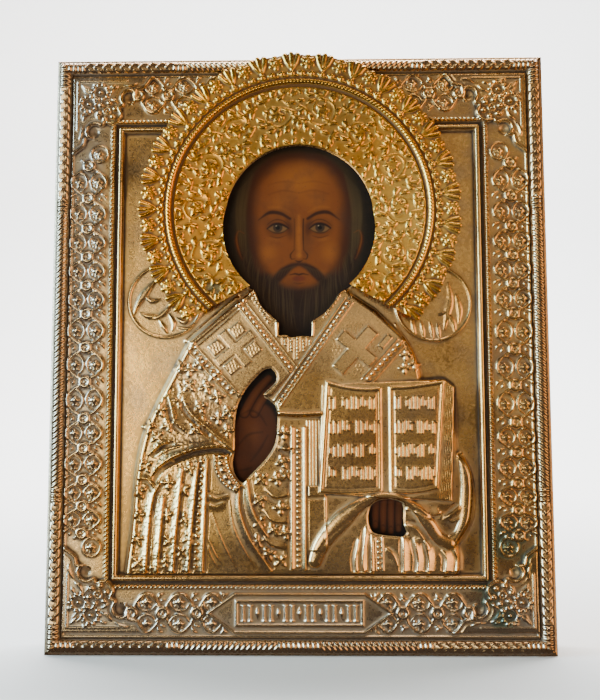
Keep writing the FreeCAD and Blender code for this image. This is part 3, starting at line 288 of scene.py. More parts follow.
class Die:
    """A grid of levels over a rectangle, in millimetres."""

    def __init__(self, low, high, cells):
        self.low, self.high, self.cells = low, high, cells
        self.lines_x = np.linspace(low[0], high[0], cells[0] + 1)
        self.lines_z = np.linspace(low[1], high[1], cells[1] + 1)
        self.x, self.z = np.meshgrid(self.lines_x, self.lines_z)
        self.ground = np.zeros_like(self.x)
        self.relief = np.zeros_like(self.x)

    def window(self, low, high, margin=0.0):
        """The part of the grid round a rectangle."""
        first = np.searchsorted(self.lines_x, low[0] - margin), np.searchsorted(self.lines_z, low[1] - margin)
        last = np.searchsorted(self.lines_x, high[0] + margin), np.searchsorted(self.lines_z, high[1] + margin)
        return slice(first[1], last[1] + 1), slice(first[0], last[0] + 1)

    def gap_from(self, place, part=slice(None)):
        """The distance of each point of a part of the grid from a place."""
        return np.hypot(self.x[part] - place[0], self.z[part] - place[1])

    def lines_at(self, spots):
        """The row and the column of the grid on which points lie that are given in metres."""
        shares = (spots[:, (0, 2)] / MM - self.low) / (np.array(self.high) - self.low)
        column, row = np.rint(shares * self.cells).astype(int).T
        return row, column

    def raise_relief(self, part, rise):
        """Keeps the higher of the relief and a new form."""
        self.relief[part] = np.maximum(self.relief[part], rise)

    def settle(self, what):
        """The relief so far becomes the ground of what follows."""
        self.ground += self.relief
        self.relief[:] = 0
        print(f"{what}: the highest point of the die is at {self.ground.max():.1f} mm")

    def along(self, part, points):
        """Distance to a line, how far along it, and the side (positive to its left), for part of the grid."""
        x, z = self.x[part], self.z[part]
        best = np.full(x.shape, 1e9)
        run = np.zeros(x.shape)
        side = np.ones(x.shape)
        start = 0.0
        for (ax, az), (bx, bz) in zip(points, points[1:]):
            dx, dz = bx - ax, bz - az
            length = math.hypot(dx, dz) or 1e-9
            t = np.clip(((x - ax) * dx + (z - az) * dz) / length ** 2, 0, 1)
            gap = np.hypot(x - ax - t * dx, z - az - t * dz)
            near = gap < best
            best = np.where(near, gap, best)
            run = np.where(near, start + t * length, run)
            side = np.where(near, np.sign(dx * (z - az) - dz * (x - ax)), side)
            start += length
        return best, run, side, start

    def stroke(self, points, half, rise, ends=(1.0, 1.0), smooth=True):
        """A round ridge along a line, narrowing to a share of its width at each end."""
        line = curve(points) if smooth else np.asarray(points, float)
        part = self.window(line.min(0), line.max(0), half + 0.4)
        gap, run, side, length = self.along(part, line)
        share = run / max(length, 1e-9)
        width = half * narrowing(share, ends, 0.45)
        self.raise_relief(part, rise * rounded(gap, width) * np.minimum(width / half + 0.25, 1))

    def stud(self, place, radius, rise, lobes=0, depth=0.25, turn=0.0):
        """A dome, with lobes round it if a number is given."""
        part = self.window(place, place, radius + 0.5)
        dx, dz = self.x[part] - place[0], self.z[part] - place[1]
        gap = np.hypot(dx, dz)
        reach = radius
        if lobes:
            reach = radius * (1 - depth * (0.5 - 0.5 * np.cos(lobes * (np.arctan2(dz, dx) - math.radians(turn)))))
        self.raise_relief(part, rise * rounded(gap, reach))

    def ring(self, place, radius, half, rise):
        """A round loop of wire on the ground."""
        part = self.window(place, place, radius + half + 0.5)
        self.raise_relief(part, rise * rounded(self.gap_from(place, part) - radius, half))

    def inside(self, part, corners):
        """How deep each point lies inside a closed outline; negative outside."""
        x, z = self.x[part], self.z[part]
        gap = np.full(x.shape, 1e9)
        within = np.zeros(x.shape, bool)
        for (ax, az), (bx, bz) in zip(corners, np.roll(corners, -1, axis=0)):
            dx, dz = bx - ax, bz - az
            t = np.clip(((x - ax) * dx + (z - az) * dz) / (dx * dx + dz * dz or 1e-12), 0, 1)
            gap = np.minimum(gap, np.hypot(x - ax - t * dx, z - az - t * dz))
            if az != bz:
                within ^= ((az > z) != (bz > z)) & (x < ax + (z - az) * dx / dz)
        return np.where(within, gap, -gap)

    def platform(self, corners, rise, slope):
        """A form with an even top whose walls take that width to rise. Returns its window and depths."""
        part = self.window(corners.min(0), corners.max(0), 1)
        depth = self.inside(part, corners)
        self.raise_relief(part, rise * ease(depth / slope))
        return part, depth


print("the tools are ready: an eased slope is half way up at", ease(0.5))


# %% [markdown]
# The real cover measures five by six vershok, an old size for such panels: 222.8 by 267.8 mm. The edge has a
# small roll, a thick rope and a frame line. The field, where the figure stands, lies lower and has a fine
# rope and a plain line round it. Both mouldings follow the distance from a rectangle, which also gives
# their mitred corners.

# %% The sheet, its mouldings and the field
COVER_WIDTH, COVER_HEIGHT = 222.8, 267.8
SHEET = 0.4
FIELD_WIDTH, FIELD_HEIGHT = 159.2, 198.6
BAND_LEVEL, FIELD_LEVEL = 2.2, 0.4
ROPE_MIDDLE, ROPE_RADIUS = 4.2, 2.8
COVER_CELLS, NIMBUS_CELLS = (720, 864), (480, 412)

cover_die = Die((-COVER_WIDTH / 2, 0), (COVER_WIDTH / 2, COVER_HEIGHT), COVER_CELLS)
from_side = COVER_WIDTH / 2 - np.abs(cover_die.x)
from_end = COVER_HEIGHT / 2 - np.abs(cover_die.z - COVER_HEIGHT / 2)
from_edge = np.minimum(from_side, from_end)
past_field = np.maximum(np.abs(cover_die.x) - FIELD_WIDTH / 2,
                        np.abs(cover_die.z - COVER_HEIGHT / 2) - FIELD_HEIGHT / 2)
ground = np.full(cover_die.x.shape, BAND_LEVEL)
ground = np.where(from_edge < 8.9, 2.9 - 0.7 * ease((from_edge - 8.6) / 0.3), ground)
ground = np.where(from_edge < 7.9, 1.6 + 1.3 * ease((from_edge - 7.55) / 0.35), ground)
ground = np.where(from_edge < 1.4, 1.0 + 1.2 * rounded(from_edge - 0.95, 0.95), ground)
ground = np.where(past_field < 6.2, 2.2 - 0.2 * ease((6.4 - past_field) / 0.2), ground)
ground = np.where(past_field < 4.1, 1.2, ground)
ground = np.where(past_field < 2.9, 1.2 + 1.7 * ease((2.75 - past_field) / 0.5), ground)
ground = np.where(past_field < 0.5, FIELD_LEVEL + 2.5 * ease(past_field / 0.5), ground)
ground += 0.45 * rounded(past_field - 1.65, 1.1)
cover_die.ground = ground
print("the sheet:", COVER_WIDTH, "by", COVER_HEIGHT, "mm, its field:", FIELD_WIDTH, "by", FIELD_HEIGHT, "mm")


# %% [markdown]
# The thick rope isn't one pattern. Overlapping laurel leaves run out of each corner, a collar ends them, and
# a plain twist fills the rest. Along the rope we use its own length as a coordinate, so that one wave gives
# the twist, and a wave that is folded at the crest gives the leaves.

# %% The thick rope and the fine rope
on_end = from_end < from_side
rope_run = np.where(on_end, np.abs(cover_die.x), np.abs(cover_die.z - COVER_HEIGHT / 2))
handed_run = np.where(on_end, cover_die.x, cover_die.z - COVER_HEIGHT / 2)
rope_across = from_edge - ROPE_MIDDLE
rope_crest = rounded(rope_across, ROPE_RADIUS)
twist = 0.5 + 0.5 * np.cos(2 * np.pi * (rope_run / 2.4 + rope_across / 3.4))
side_twist = 0.5 + 0.5 * np.cos(2 * np.pi * (handed_run / 2.4 - rope_across / 3.4))
leaf = rope_run / 4.1 + np.abs(rope_across) / 3.6
leaf_back = leaf % 1.0
laurel = np.clip(leaf_back * 1.25, 0, 1) ** 1.5 * np.clip((1 - leaf_back) * 8, 0, 1)
laurel = laurel * (0.55 + 0.45 * np.abs(np.cos(np.pi * rope_across / 1.9)))
collar = 0.5 + 0.5 * np.cos(2 * np.pi * rope_run / 2.1)
leaf_start = np.where(on_end, 57.5, 68.0)
rope_pattern = np.where(rope_run > leaf_start, 0.62 * laurel, 0.42 * np.where(on_end, twist, side_twist))
near_collar = (np.abs(rope_run - (leaf_start - 3.2)) < 3.2) | (rope_run > np.where(on_end, 98, 120.5))
near_collar |= on_end & (rope_run < 9.2)
rope_pattern = np.where(near_collar, 0.55 * collar, rope_pattern)
rope = ROPE_RADIUS * rope_crest * (1 - 0.12 * (1 - rope_crest))
rope -= 0.85 * (1 - rope_pattern / 0.55) * rope_crest ** 0.5
cover_die.ground = np.where(np.abs(rope_across) < ROPE_RADIUS, 2.4 + np.maximum(rope, -0.6), cover_die.ground)

fine_across = past_field - 5.15
fine_crest = rounded(fine_across, 1.05)
fine_twist = 0.5 + 0.5 * np.cos(2 * np.pi * (handed_run / 1.95 + fine_across / 2.3))
fine_rope = 2.2 + 1.7 * fine_crest - 1.25 * (1 - fine_twist) * fine_crest ** 0.5
cover_die.ground = np.where(np.abs(fine_across) < 1.05, fine_rope, cover_die.ground)
print("the die has", cover_die.x.size, "points")


# %% [markdown]
# Each corner carries a scrolled spandrel that is the same on both sides of the corner's diagonal, so we draw
# half of its outline and mirror it. Its rim stands up as a round rib, and inside it lie three flowers and
# some leaves. The same spandrel is stamped four times: a place in the corner becomes a place on the die.

# %% Corner spandrels
CORNER_SIDE, CORNER_TOP, CORNER_FOOT = 103.4, 259.4, 10.0
SPANDREL_LEVEL = 1.15
SPANDREL_HALF = (
    ((37.5, 0.2), (35.7, 2.0), (33.0, 5.4), (29.4, 6.4)), ((29.4, 6.4), (29.1, 8.2), (28.7, 9.8)),
    ((28.7, 9.8), (27.9, 8.1), (26.2, 7.1), (24.2, 7.5), (22.9, 9.1), (22.8, 11.0), (23.7, 12.7)),
    ((23.7, 12.7), (23.3, 14.2), (21.6, 15.0)),
    ((21.6, 15.0), (22.7, 17.0), (22.6, 19.2), (21.1, 21.1)))


def daisy(die, place, radius, rise):
    """A hollow flower: a ring of small petals round a bowl with a bead in it."""
    part = die.window(place, place, radius * 1.5)
    die.relief[part] = np.where(die.gap_from(place, part) < radius * 1.15, 0.55, die.relief[part])
    for petal in range(10):
        die.stud(polar(place, 36 * petal, radius), radius * 0.31, rise)
    die.ring(place, radius * 0.80, radius * 0.16, rise * 0.85)
    die.stud(place, radius * 0.34, rise * 0.9)


def open_flower(die, place, radius, rise):
    """A flower of round petals round a bead."""
    part = die.window(place, place, radius * 1.6)
    die.relief[part] = np.where(die.gap_from(place, part) < radius * 1.3, 0.75, die.relief[part])
    for petal in range(6):
        die.stud(polar(place, 60 * petal + 15, radius), radius * 0.42, rise)
    die.ring(place, radius * 0.40, radius * 0.15, rise * 0.8)
    die.stud(place, radius * 0.2, rise * 0.85)


def leaflet(die, root, tip, half, rise, bend=0.0):
    """A small pointed leaf, which may bend to its left."""
    root, tip = np.asarray(root, float), np.asarray(tip, float)
    middle = (root + tip) / 2 + np.array([root[1] - tip[1], tip[0] - root[0]]) * bend
    die.stroke((root, middle, tip), half, rise, ends=(0.45, 0.1))


def stamp_spandrel(die, corner, step_x, step_z):
    """Stamps a spandrel whose corner is given; the steps say which way it runs."""
    def spot(point):
        """The place on the die of a place in the corner."""
        return corner[0] + step_x * point[0], corner[1] + step_z * point[1]
    half = [[spot(point) for point in run] for run in SPANDREL_HALF]
    mirrored = [[spot((down, along)) for along, down in reversed(run)] for run in reversed(SPANDREL_HALF)]
    rim = outline(*half, *mirrored, [spot((0.2, 37.5)), spot((0, 0))], [spot((0, 0)), spot((37.5, 0.2))])
    part, depth = die.platform(rim, SPANDREL_LEVEL, 0.5)
    die.ground[part] = np.where(depth > 0, BAND_LEVEL, die.ground[part])
    scrolled = np.vstack([curve(run) for run in half + mirrored])
    gap = die.along(part, scrolled)[0]
    die.raise_relief(part, np.where(depth > 0, SPANDREL_LEVEL + 1.05 * rounded(gap - 0.75, 0.8), 0))
    die.relief[part] -= 0.35 * np.where(depth > 0, rounded(gap - 2.0, 0.7), 0)
    for end in ((25.0, 2.2), (2.2, 25.0)):
        die.stroke((spot((2.2, 2.2)), spot(end)), 0.55, SPANDREL_LEVEL + 0.65, smooth=False)
    daisy(die, spot((12.6, 7.4)), 3.7, SPANDREL_LEVEL + 1.05)
    daisy(die, spot((7.2, 12.9)), 3.7, SPANDREL_LEVEL + 1.05)
    open_flower(die, spot((15.6, 16.2)), 3.9, SPANDREL_LEVEL + 1.25)
    for root, tip, wide, bend in (
            ((7.6, 7.4), (2.9, 2.9), 1.1, 0), ((9.0, 8.0), (4.2, 4.6), 0.6, 0.2),
            ((8.0, 9.0), (4.6, 4.2), 0.6, -0.2), ((17.0, 8.8), (22.0, 4.2), 1.1, 0.15),
            ((17.4, 10.4), (20.8, 12.6), 0.9, 0), ((16.8, 5.0), (20.0, 3.9), 0.8, 0),
            ((23.5, 4.4), (30.5, 2.6), 0.9, -0.1), ((8.8, 17.0), (4.2, 22.0), 1.1, -0.15),
            ((10.4, 17.4), (12.6, 20.8), 0.9, 0), ((5.0, 16.8), (3.9, 20.0), 0.8, 0),
            ((4.4, 23.5), (2.6, 30.5), 0.9, 0.1), ((12.0, 3.2), (8.4, 3.6), 0.7, 0.1),
            ((3.2, 12.0), (3.6, 8.4), 0.7, -0.1), ((11.5, 11.8), (10.0, 10.0), 0.8, 0)):
        leaflet(die, spot(root), spot(tip), wide, SPANDREL_LEVEL + 0.95, bend)


for side in (-1, 1):
    for corner_up, step in ((CORNER_TOP, -1), (CORNER_FOOT, 1)):
        stamp_spandrel(cover_die, (side * CORNER_SIDE, corner_up), -side, step)
        for inwards, away in ((25.9, 10.0), (10.0, 25.9)):
            eye = side * (CORNER_SIDE - inwards), corner_up + step * away
            part = cover_die.window(eye, eye, 3)
            cover_die.ground[part] -= 0.9 * ease(1 - cover_die.gap_from(eye, part) / 2.6)
spandrel_relief = cover_die.relief.copy()
print("spandrels: four, up to", round(float(spandrel_relief.max()), 2), "mm above the band")


# %% [markdown]
# Between the spandrels two stems wind round each other. They cross behind a round boss, and each loop
# between two crossings holds a ring with a bud. The same length of stem serves the side bands and the end
# bands: it is drawn along a line, with "off" as the distance to the side of that line.

# %% Winding stems of the bands
def bud(die, place, size):
    """A rosebud: a lobed dome, one fold over it, and small outer petals."""
    for petal in range(5):
        die.stud(polar(place, 155 + 35 * petal, 1.75 * size), 0.66 * size, 0.76)
    die.stud(place, 1.7 * size, 1.3775, lobes=4, depth=0.3, turn=90)
    die.stud((place[0] + 0.4 * size, place[1] + 0.4 * size), 0.6 * size, 1.5675)


def boss(die, place, size):
    """A thick ring with a bead in it, where two stems cross."""
    die.ring(place, 1.55 * size, 0.85 * size, 1.45)
    die.stud(place, 0.62 * size, 1.2)


def winding_stems(die, spot, crossings, reach, size):
    """Stems that cross at the given places along a band, with a ring and a bud on each side between them."""
    for start, stop in zip(crossings, crossings[1:]):
        middle, length = (start + stop) / 2, stop - start
        for side in (-1, 1):
            out = reach * side
            stem = ((start - 0.18 * length, -0.42 * out), (start, 0), (start + 0.2 * length, 0.62 * out), (middle, out),
                    (stop - 0.2 * length, 0.62 * out), (stop, 0), (stop + 0.18 * length, -0.42 * out))
            die.stroke([spot(*point) for point in stem], 0.7, 1.1, ends=(0.8, 0.8))
            loop = [spot(middle + 0.2862 * length * math.cos(a), (0.56 + 0.46 * math.sin(a)) * out)
                    for a in np.linspace(-2.9, 2.2, 9)]
            die.stroke(loop, 0.62, 1.0, ends=(0.5, 0.9))
            bud(die, spot(middle, 0.56 * out), size)
            for root, tip, half, rise, bend in (
                    ((start + 0.14 * length, 0.72 * out), (start - 0.03 * length, 1.02 * out), 0.75, 0.95, 0.2 * side),
                    ((start + 0.05 * length, 0.62 * out), (start - 0.1 * length, 0.74 * out), 0.6, 0.9, 0),
                    ((middle - 0.1 * length, 0.1 * out), (middle + 0.16 * length, 0.06 * out), 0.7, 0.9, 0)):
                leaflet(die, spot(*root), spot(*tip), half, rise, bend)
        boss(die, spot(start, 0), size)
    boss(die, spot(crossings[-1], 0), size)


SIDE_BAND, UPPER_BAND, LOWER_BAND = 95.6, 250.6, 18.3
LEFT_CROSSINGS = (52.5, 64.2, 75.8, 89.6, 102.8, 119.0, 134.5, 149.5, 162.5, 175.5, 188.5, 202.5, 217.5)
RIGHT_CROSSINGS = (51.5, 62.5, 74.0, 87.3, 100.7, 117.0, 133.0, 149.0, 162.5, 175.5, 188.5, 202.5, 217.5)
for side, crossings in ((-1, LEFT_CROSSINGS), (1, RIGHT_CROSSINGS)):
    winding_stems(cover_die, lambda along, off: (side * SIDE_BAND + off, along), crossings, 7.9, 1.3)
    for place in ((side * 90.9, 223.2), (side * 91.3, 46.4)):
        cover_die.ring(place, 3.9, 0.62, 1.0)
        bud(cover_die, place, 1.25)
    for middle in (LOWER_BAND, UPPER_BAND):
        for crossings in ((44.7, 59.7, 73.5), (31.5, 44.7)):
            winding_stems(cover_die, lambda along, off: (side * along, middle + off), crossings, 8.2, 1.35)
for crossing in (17.0, 2.0, -13.0, -28.0):
    winding_stems(cover_die, lambda along, off: (along, UPPER_BAND + off), (crossing, crossing + 15.0), 8.2, 1.35)
cover_die.relief = np.where(spandrel_relief > 0.05, spandrel_relief, cover_die.relief)
print("winding stems: loops up the sides:", 2 * (len(LEFT_CROSSINGS) + len(RIGHT_CROSSINGS) - 2))


# %% [markdown]
# A long six-sided cartouche sits in the middle of the lower band, with a sunk plaque in it. The real plaque
# carries a name. This part is unmarked, so the plaque holds a row of plain upright bars and lozenges.

# %% Cartouche
CARTOUCHE_UP = 18.2
CARTOUCHE = np.array([(-28.5, 27.0), (28.5, 27.0), (41.2, CARTOUCHE_UP), (28.5, 9.4), (-28.5, 9.4),
                      (-41.2, CARTOUCHE_UP)])
part = cover_die.window(CARTOUCHE.min(0), CARTOUCHE.max(0), 1)
depth = cover_die.inside(part, CARTOUCHE)
cover_die.relief[part] = np.where(depth > 0, 0, cover_die.relief[part])
cartouche = 0.35 * ease(depth / 0.4) + 0.95 * rounded(depth - 0.75, 0.75) * (depth > 0)
plaque_depth = np.minimum(28.2 - np.abs(cover_die.x[part]), 6.0 - np.abs(cover_die.z[part] - CARTOUCHE_UP))
cartouche = np.where(plaque_depth > 0, 0.35 + 0.95 * ease(plaque_depth / 0.4), cartouche)
cartouche = np.where(plaque_depth > 1.3, 1.3 - 0.9 * ease((plaque_depth - 1.3) / 0.5), cartouche)
cover_die.raise_relief(part, cartouche)
for place in range(-8, 9):
    middle_x = place * 3.05
    if place % 3 == 0:
        diamond = np.array([(middle_x - 1.15, CARTOUCHE_UP), (middle_x, 21.6), (middle_x + 1.15, CARTOUCHE_UP),
                            (middle_x, 14.8)])
        cover_die.platform(diamond, 1.35, 0.7)
    else:
        cover_die.stroke(((middle_x, 14.9), (middle_x, 21.5)), 0.62, 1.4, smooth=False)
        for end in (14.9, 21.5):
            cover_die.stroke(((middle_x - 0.75, end), (middle_x + 0.75, end)), 0.42, 1.15, smooth=False)
for side in (-1, 1):
    leaflet(cover_die, (side * 32.5, 25.0), (side * 34.5, 27.2), 0.8, 0.9)
    leaflet(cover_die, (side * 32.5, 11.4), (side * 34.5, 9.2), 0.8, 0.9)
cover_die.settle("mouldings, bands and cartouche")


# %% [markdown]
# The lowered field holds two round medallions, half hidden under the nimbus, with folds of cloth in them.
# They are the lowest relief on the sheet, so they come before the figure.

# %% Medallions
def bent_cloth(die, folds, rise):
    """Rounded folds, each with its own half width."""
    for half, *points in folds:
        die.stroke(points, half, rise, ends=(0.35, 0.35))


for place, radius in (((-60.2, 155.5), 17.2), ((60.2, 153.8), 17.4)):
    part = cover_die.window(place, place, radius + 1)
    gap = cover_die.gap_from(place, part)
    cover_die.raise_relief(part, np.where(gap < radius, 0.35 + 0.5 * rounded(gap - radius + 0.7, 0.7), 0))
bent_cloth(cover_die, (
    (1.92, (-74.5, 149.5), (-72.5, 154.5), (-68.5, 160.5), (-64.0, 166.0)),
    (1.28, (-71.5, 150.0), (-68.0, 148.6), (-62.5, 149.0)),
    (1.44, (-68.0, 147.5), (-63.5, 148.2), (-59.5, 151.5), (-57.5, 155.5)),
    (1.12, (-63.0, 147.0), (-60.5, 143.0), (-59.5, 141.0)), (1.12, (-58.5, 149.5), (-56.5, 145.5), (-57.0, 142.0)),
    (1.6, (-55.0, 147.5), (-51.5, 146.0), (-48.0, 149.0)), (1.28, (-70.0, 158.0), (-66.5, 155.5), (-63.0, 156.0)),
    (0.96, (-54.5, 143.5), (-50.0, 143.0), (-46.5, 146.0))), 1.1)
bent_cloth(cover_die, (
    (2.08, (67.0, 163.0), (67.8, 156.0), (66.5, 149.5), (65.0, 142.0)),
    (1.6, (62.5, 148.8), (66.0, 149.0), (69.0, 145.0), (70.0, 140.0)),
    (1.12, (50.5, 146.5), (51.5, 141.5), (52.5, 139.0)), (1.12, (54.5, 146.0), (55.5, 141.0), (56.0, 138.0)),
    (1.12, (58.5, 146.0), (59.5, 141.0), (60.0, 137.6)), (1.12, (62.0, 145.0), (62.5, 141.0), (63.0, 138.0)),
    (1.6, (70.5, 158.0), (72.0, 150.5), (71.5, 144.5)), (1.28, (60.0, 160.0), (63.0, 163.0), (66.0, 168.0))), 0.85)
cover_die.settle("medallions")


# %% [markdown]
# The figure is half a man's bust in vestments. Its edge is a wide round shoulder in the sheet, which catches
# the light all the way down the left side. The outline is a run of smooth and straight pieces, and the
# platform tool gives it a sloping wall. Vestments lie on it one above the other.

# %% The figure and the large pieces of its dress
FIGURE_OUTLINE = outline(
    ((-78.2, 31.0), (-76.8, 43.0), (-75.4, 54.0), (-74.4, 66.0), (-73.6, 78.0), (-71.8, 89.5), (-68.6, 100.5),
     (-62.6, 113.5), (-58.0, 122.5), (-53.5, 131.5), (-50.4, 137.6)),
    ((-50.4, 137.6), (-27.6, 157.0)), ((-27.6, 157.0), (-24.0, 160.0)), ((-24.0, 160.0), (-21.0, 163.6)),
    ((-21.0, 163.6), (21.0, 163.6)), ((21.0, 163.6), (26.0, 158.0), (35.5, 151.0), (42.0, 145.0)),
    ((42.0, 145.0), (48.0, 139.0), (52.3, 131.5), (54.8, 124.0), (56.0, 116.0)), ((56.0, 116.0), (70.0, 112.0)),
    ((70.0, 112.0), (70.4, 88.0)), ((70.4, 88.0), (75.0, 83.0), (77.0, 77.0), (77.0, 67.0), (75.6, 57.0), (71.6, 49.8)),
    ((71.6, 49.8), (70.6, 46.5), (70.4, 31.0)), ((70.4, 31.0), (-78.2, 31.0)))
part, figure_depth = cover_die.platform(FIGURE_OUTLINE, 2.9, 3.2)
cover_die.relief[part] += np.where(figure_depth > 0, 0.9 * ease(figure_depth / 22.0), 0)
cover_die.relief[part] += 0.45 * rounded(figure_depth - 3.1, 1.2) * (cover_die.x[part] < -20)
cover_die.relief *= past_field < -0.3
inside_figure = np.full(cover_die.x.shape, -1.0)
inside_figure[part] = figure_depth
cover_die.settle("figure")


def beaded_border(die, line, half, bead, gap, rise):
    """Two thin edges with a row of beads between them, along a line."""
    line = curve(line, 0.5)
    steps = np.diff(line, axis=0)
    normals = np.vstack([steps, steps[-1:]])[:, ::-1] * (-1, 1)
    normals = normals / np.linalg.norm(normals, axis=1)[:, None]
    for side in (-1, 1):
        die.stroke(line + normals * half * side, 0.42, rise * 0.8, smooth=False)
    lengths = np.concatenate([[0], np.cumsum(np.hypot(*steps.T))])
    for run in np.arange(gap / 2, lengths[-1], gap):
        spot = np.interp(run, lengths, line[:, 0]), np.interp(run, lengths, line[:, 1])
        die.stud(spot, bead, rise)


def quatrefoil(die, place, size, rise, turn=0.0):
    """A small cross whose arms end in lobes."""
    for arm in range(4):
        tip = polar(place, turn + 90 * arm, size * 1.15)
        die.stroke((place, tip), size * 0.52, rise, ends=(1, 1), smooth=False)
        die.stud(tip, size * 0.72, rise, lobes=3, depth=0.3, turn=turn + 90 * arm)


def bar(die, middle, turn, half_long, half_wide, rise, edge=0.35):
    """A flat raised rectangle, turned about its middle."""
    corners = turned(((half_long, half_wide), (-half_long, half_wide), (-half_long, -half_wide),
                      (half_long, -half_wide)), middle, turn)
    return die.platform(corners, rise, edge)


# %% [markdown]
# A broad stole with crosses lies over both shoulders and meets under the beard. Each half is a flat panel
# between two beaded borders. The left panel has stippled squares between the arms of its cross, and the
# right one has a plain cross on a punched ground.

# %% Stole
LEFT_STOLE = np.array([(-50.2, 137.0), (-27.4, 156.6), (-1.6, 123.6), (-12.0, 112.0), (-27.0, 111.4),
                       (-49.6, 135.6)])
RIGHT_STOLE = np.array([(23.5, 158.5), (35.0, 151.6), (47.6, 137.0), (30.0, 118.0), (9.6, 103.2), (-9.6, 103.2),
                        (-10.6, 109.0), (-2.0, 121.6)])
cover_die.platform(LEFT_STOLE, 0.6, 1.2)
cover_die.platform(RIGHT_STOLE, 1.0, 1.2)
cover_die.settle("stole")
cover_die.stroke(((-50.6, 137.4), (-39.0, 147.4), (-27.4, 157.2)), 1.25, 1.0, smooth=False)
for offset in (-1.7, 1.7):
    edge = [polar(place, -50, offset + 2.2) for place in ((-49.0, 136.6), (-27.6, 155.2))]
    cover_die.stroke(edge, 0.35, 0.35, smooth=False)
for half, bead, gap, rise, *line in (
        (1.9, 1.05, 2.55, 0.95, (-26.4, 154.6), (-14.5, 139.4), (-2.6, 124.2)),
        (2.0, 1.0, 2.7, 0.9, (-48.6, 134.6), (-38.6, 123.8), (-28.6, 113.0)),
        (1.9, 1.0, 2.5, 0.95, (22.4, 155.0), (6.5, 132.0), (-9.4, 109.4)),
        (2.1, 1.1, 2.9, 0.9, (45.4, 136.0), (37.8, 127.4), (29.6, 118.4))):
    beaded_border(cover_die, line, half, bead, gap, rise)
LEFT_CROSS, LEFT_TURN = (-28.4, 133.6), 39.5
for turn, length in ((LEFT_TURN, 10.5), (LEFT_TURN + 90, 9.4)):
    bar(cover_die, LEFT_CROSS, turn, length, 2.1, 0.3, 0.25)
for along_arm, off_arm in ((6.0, 5.6), (-6.0, 5.6), (6.0, -5.6), (-6.0, -5.6)):
    place = turned(((along_arm, off_arm),), LEFT_CROSS, LEFT_TURN)[0]
    part, depth = bar(cover_die, place, LEFT_TURN, 3.1, 2.8, 0.5, 0.25)
    grain = np.sin(cover_die.x[part] * 4.3 + 1.7 * np.sin(cover_die.z[part] * 3.1)) * np.sin(cover_die.z[part] * 4.7)
    cover_die.relief[part] += np.where(depth > 0.4, 0.12 * grain, 0)
RIGHT_CROSS, RIGHT_TURN = (25.6, 133.2), 49.0
bar(cover_die, turned(((-0.8, 0),), RIGHT_CROSS, RIGHT_TURN)[0], RIGHT_TURN, 12.2, 3.3, 0.85, 0.45)
bar(cover_die, RIGHT_CROSS, RIGHT_TURN + 90, 9.8, 3.0, 0.85, 0.45)
bar(cover_die, (38.2, 136.4), RIGHT_TURN, 3.6, 1.6, 0.5)
part = cover_die.window((12.0, 116.0), (42.0, 150.0), 1)
from_cross = cover_die.gap_from(RIGHT_CROSS, part)
punched = np.sin(cover_die.x[part] * 3.7 + 1.9 * np.sin(cover_die.z[part] * 2.3)) * np.sin(cover_die.z[part] * 4.1)
cover_die.relief[part] += np.where(cover_die.relief[part] < 0.05, 0.11 * punched * ease((13.5 - from_cross) / 4), 0)
cover_die.stroke(((-9.6, 104.6), (-1.0, 103.9), (9.4, 104.4)), 1.25, 1.1)


# %% [markdown]
# The collar stands round the neck. It has a beaded shield in front, a frame line round it, and a row of
# small pearls over each shoulder.

# %% Collar
for column in (-7.4, -4.6, -1.9, 0.8, 3.6):
    low = 129.5 + abs(column + 1.9) * 0.95 if abs(column + 1.9) > 1 else 128.6
    cover_die.stroke(((column, low), (column, 138.4)), 0.32, 0.35, smooth=False)
    for bead_up in np.arange(low + 0.6, 138.0, 1.45):
        cover_die.stud((column + 1.35, bead_up), 0.6, 0.55)
for line in (((-9.2, 139.0), (5.8, 139.0)), ((-9.6, 139.0), (-9.9, 146.0)), ((6.0, 139.0), (6.2, 145.6)),
             ((-10.2, 146.4), (-13.4, 148.4), (-17.6, 153.8), (-20.6, 160.6)),
             ((6.6, 146.2), (12.6, 150.6), (16.6, 155.4), (19.6, 160.6))):
    cover_die.stroke(line, 0.5, 0.55)
for shoulder in range(9):
    share = shoulder / 8
    cover_die.stud((-13.5 - 9.0 * share, 145.6 + 14.4 * share), 0.75, 0.4)
    cover_die.stud((11.5 + 8.5 * share, 147.6 + 12.6 * share), 0.75, 0.4)
cover_die.settle("collar")


# %% [markdown]
# An even ridge looks like a worm and not like cloth. A fold falls steeply to one side, where a groove in the
# ground runs beside it, and it runs out gently to the other side.

# %% Folds of cloth
GENTLE = 3.4


def fold(die, points, half, rise, crease, side, ends=(0.5, 0.5)):
    """Cloth that falls steeply to one side of a line (its left for side 1) and runs out gently to the other."""
    line = curve(points, 0.8)
    part = die.window(line.min(0), line.max(0), half * GENTLE)
    gap, run, at_side, length = die.along(part, line)
    share = run / max(length, 1e-9)
    taper = ease(np.minimum(ends[0] + 1.6 * share, 1)) * ease(np.minimum(ends[1] + 1.6 * (1 - share), 1))
    beyond = (run <= 0.01) | (run >= length - 0.01)
    steep = ease(1 - (gap / half - 0.1)) * np.where(beyond, ease(1 - gap / (half * 1.2)), 1)
    gentle = (np.clip(1 - gap / (half * GENTLE), 0, 1) ** 1.6) * np.where(beyond, ease(1 - gap / half / 1.6), 1)
    die.raise_relief(part, rise * taper * np.where(at_side * side > 0, steep, gentle))
    if crease:
        valley = np.where(at_side * side > 0, rounded(gap - 1.35 * half, 0.8 * half), 0) * ~beyond
        die.ground[part] -= 0.55 * crease * taper * valley


print("a fold runs out over", GENTLE, "times its half width on its gentle side")


# %% [markdown]
# The robe hangs from the shoulder. Long folds gather at the sleeve, which is drawn up in one deep fold over
# the arm, and straight ones hang below it. Small crosses with lobed arms are strewn over the cloth between
# the folds, and a row of lobed beads runs down the edge.

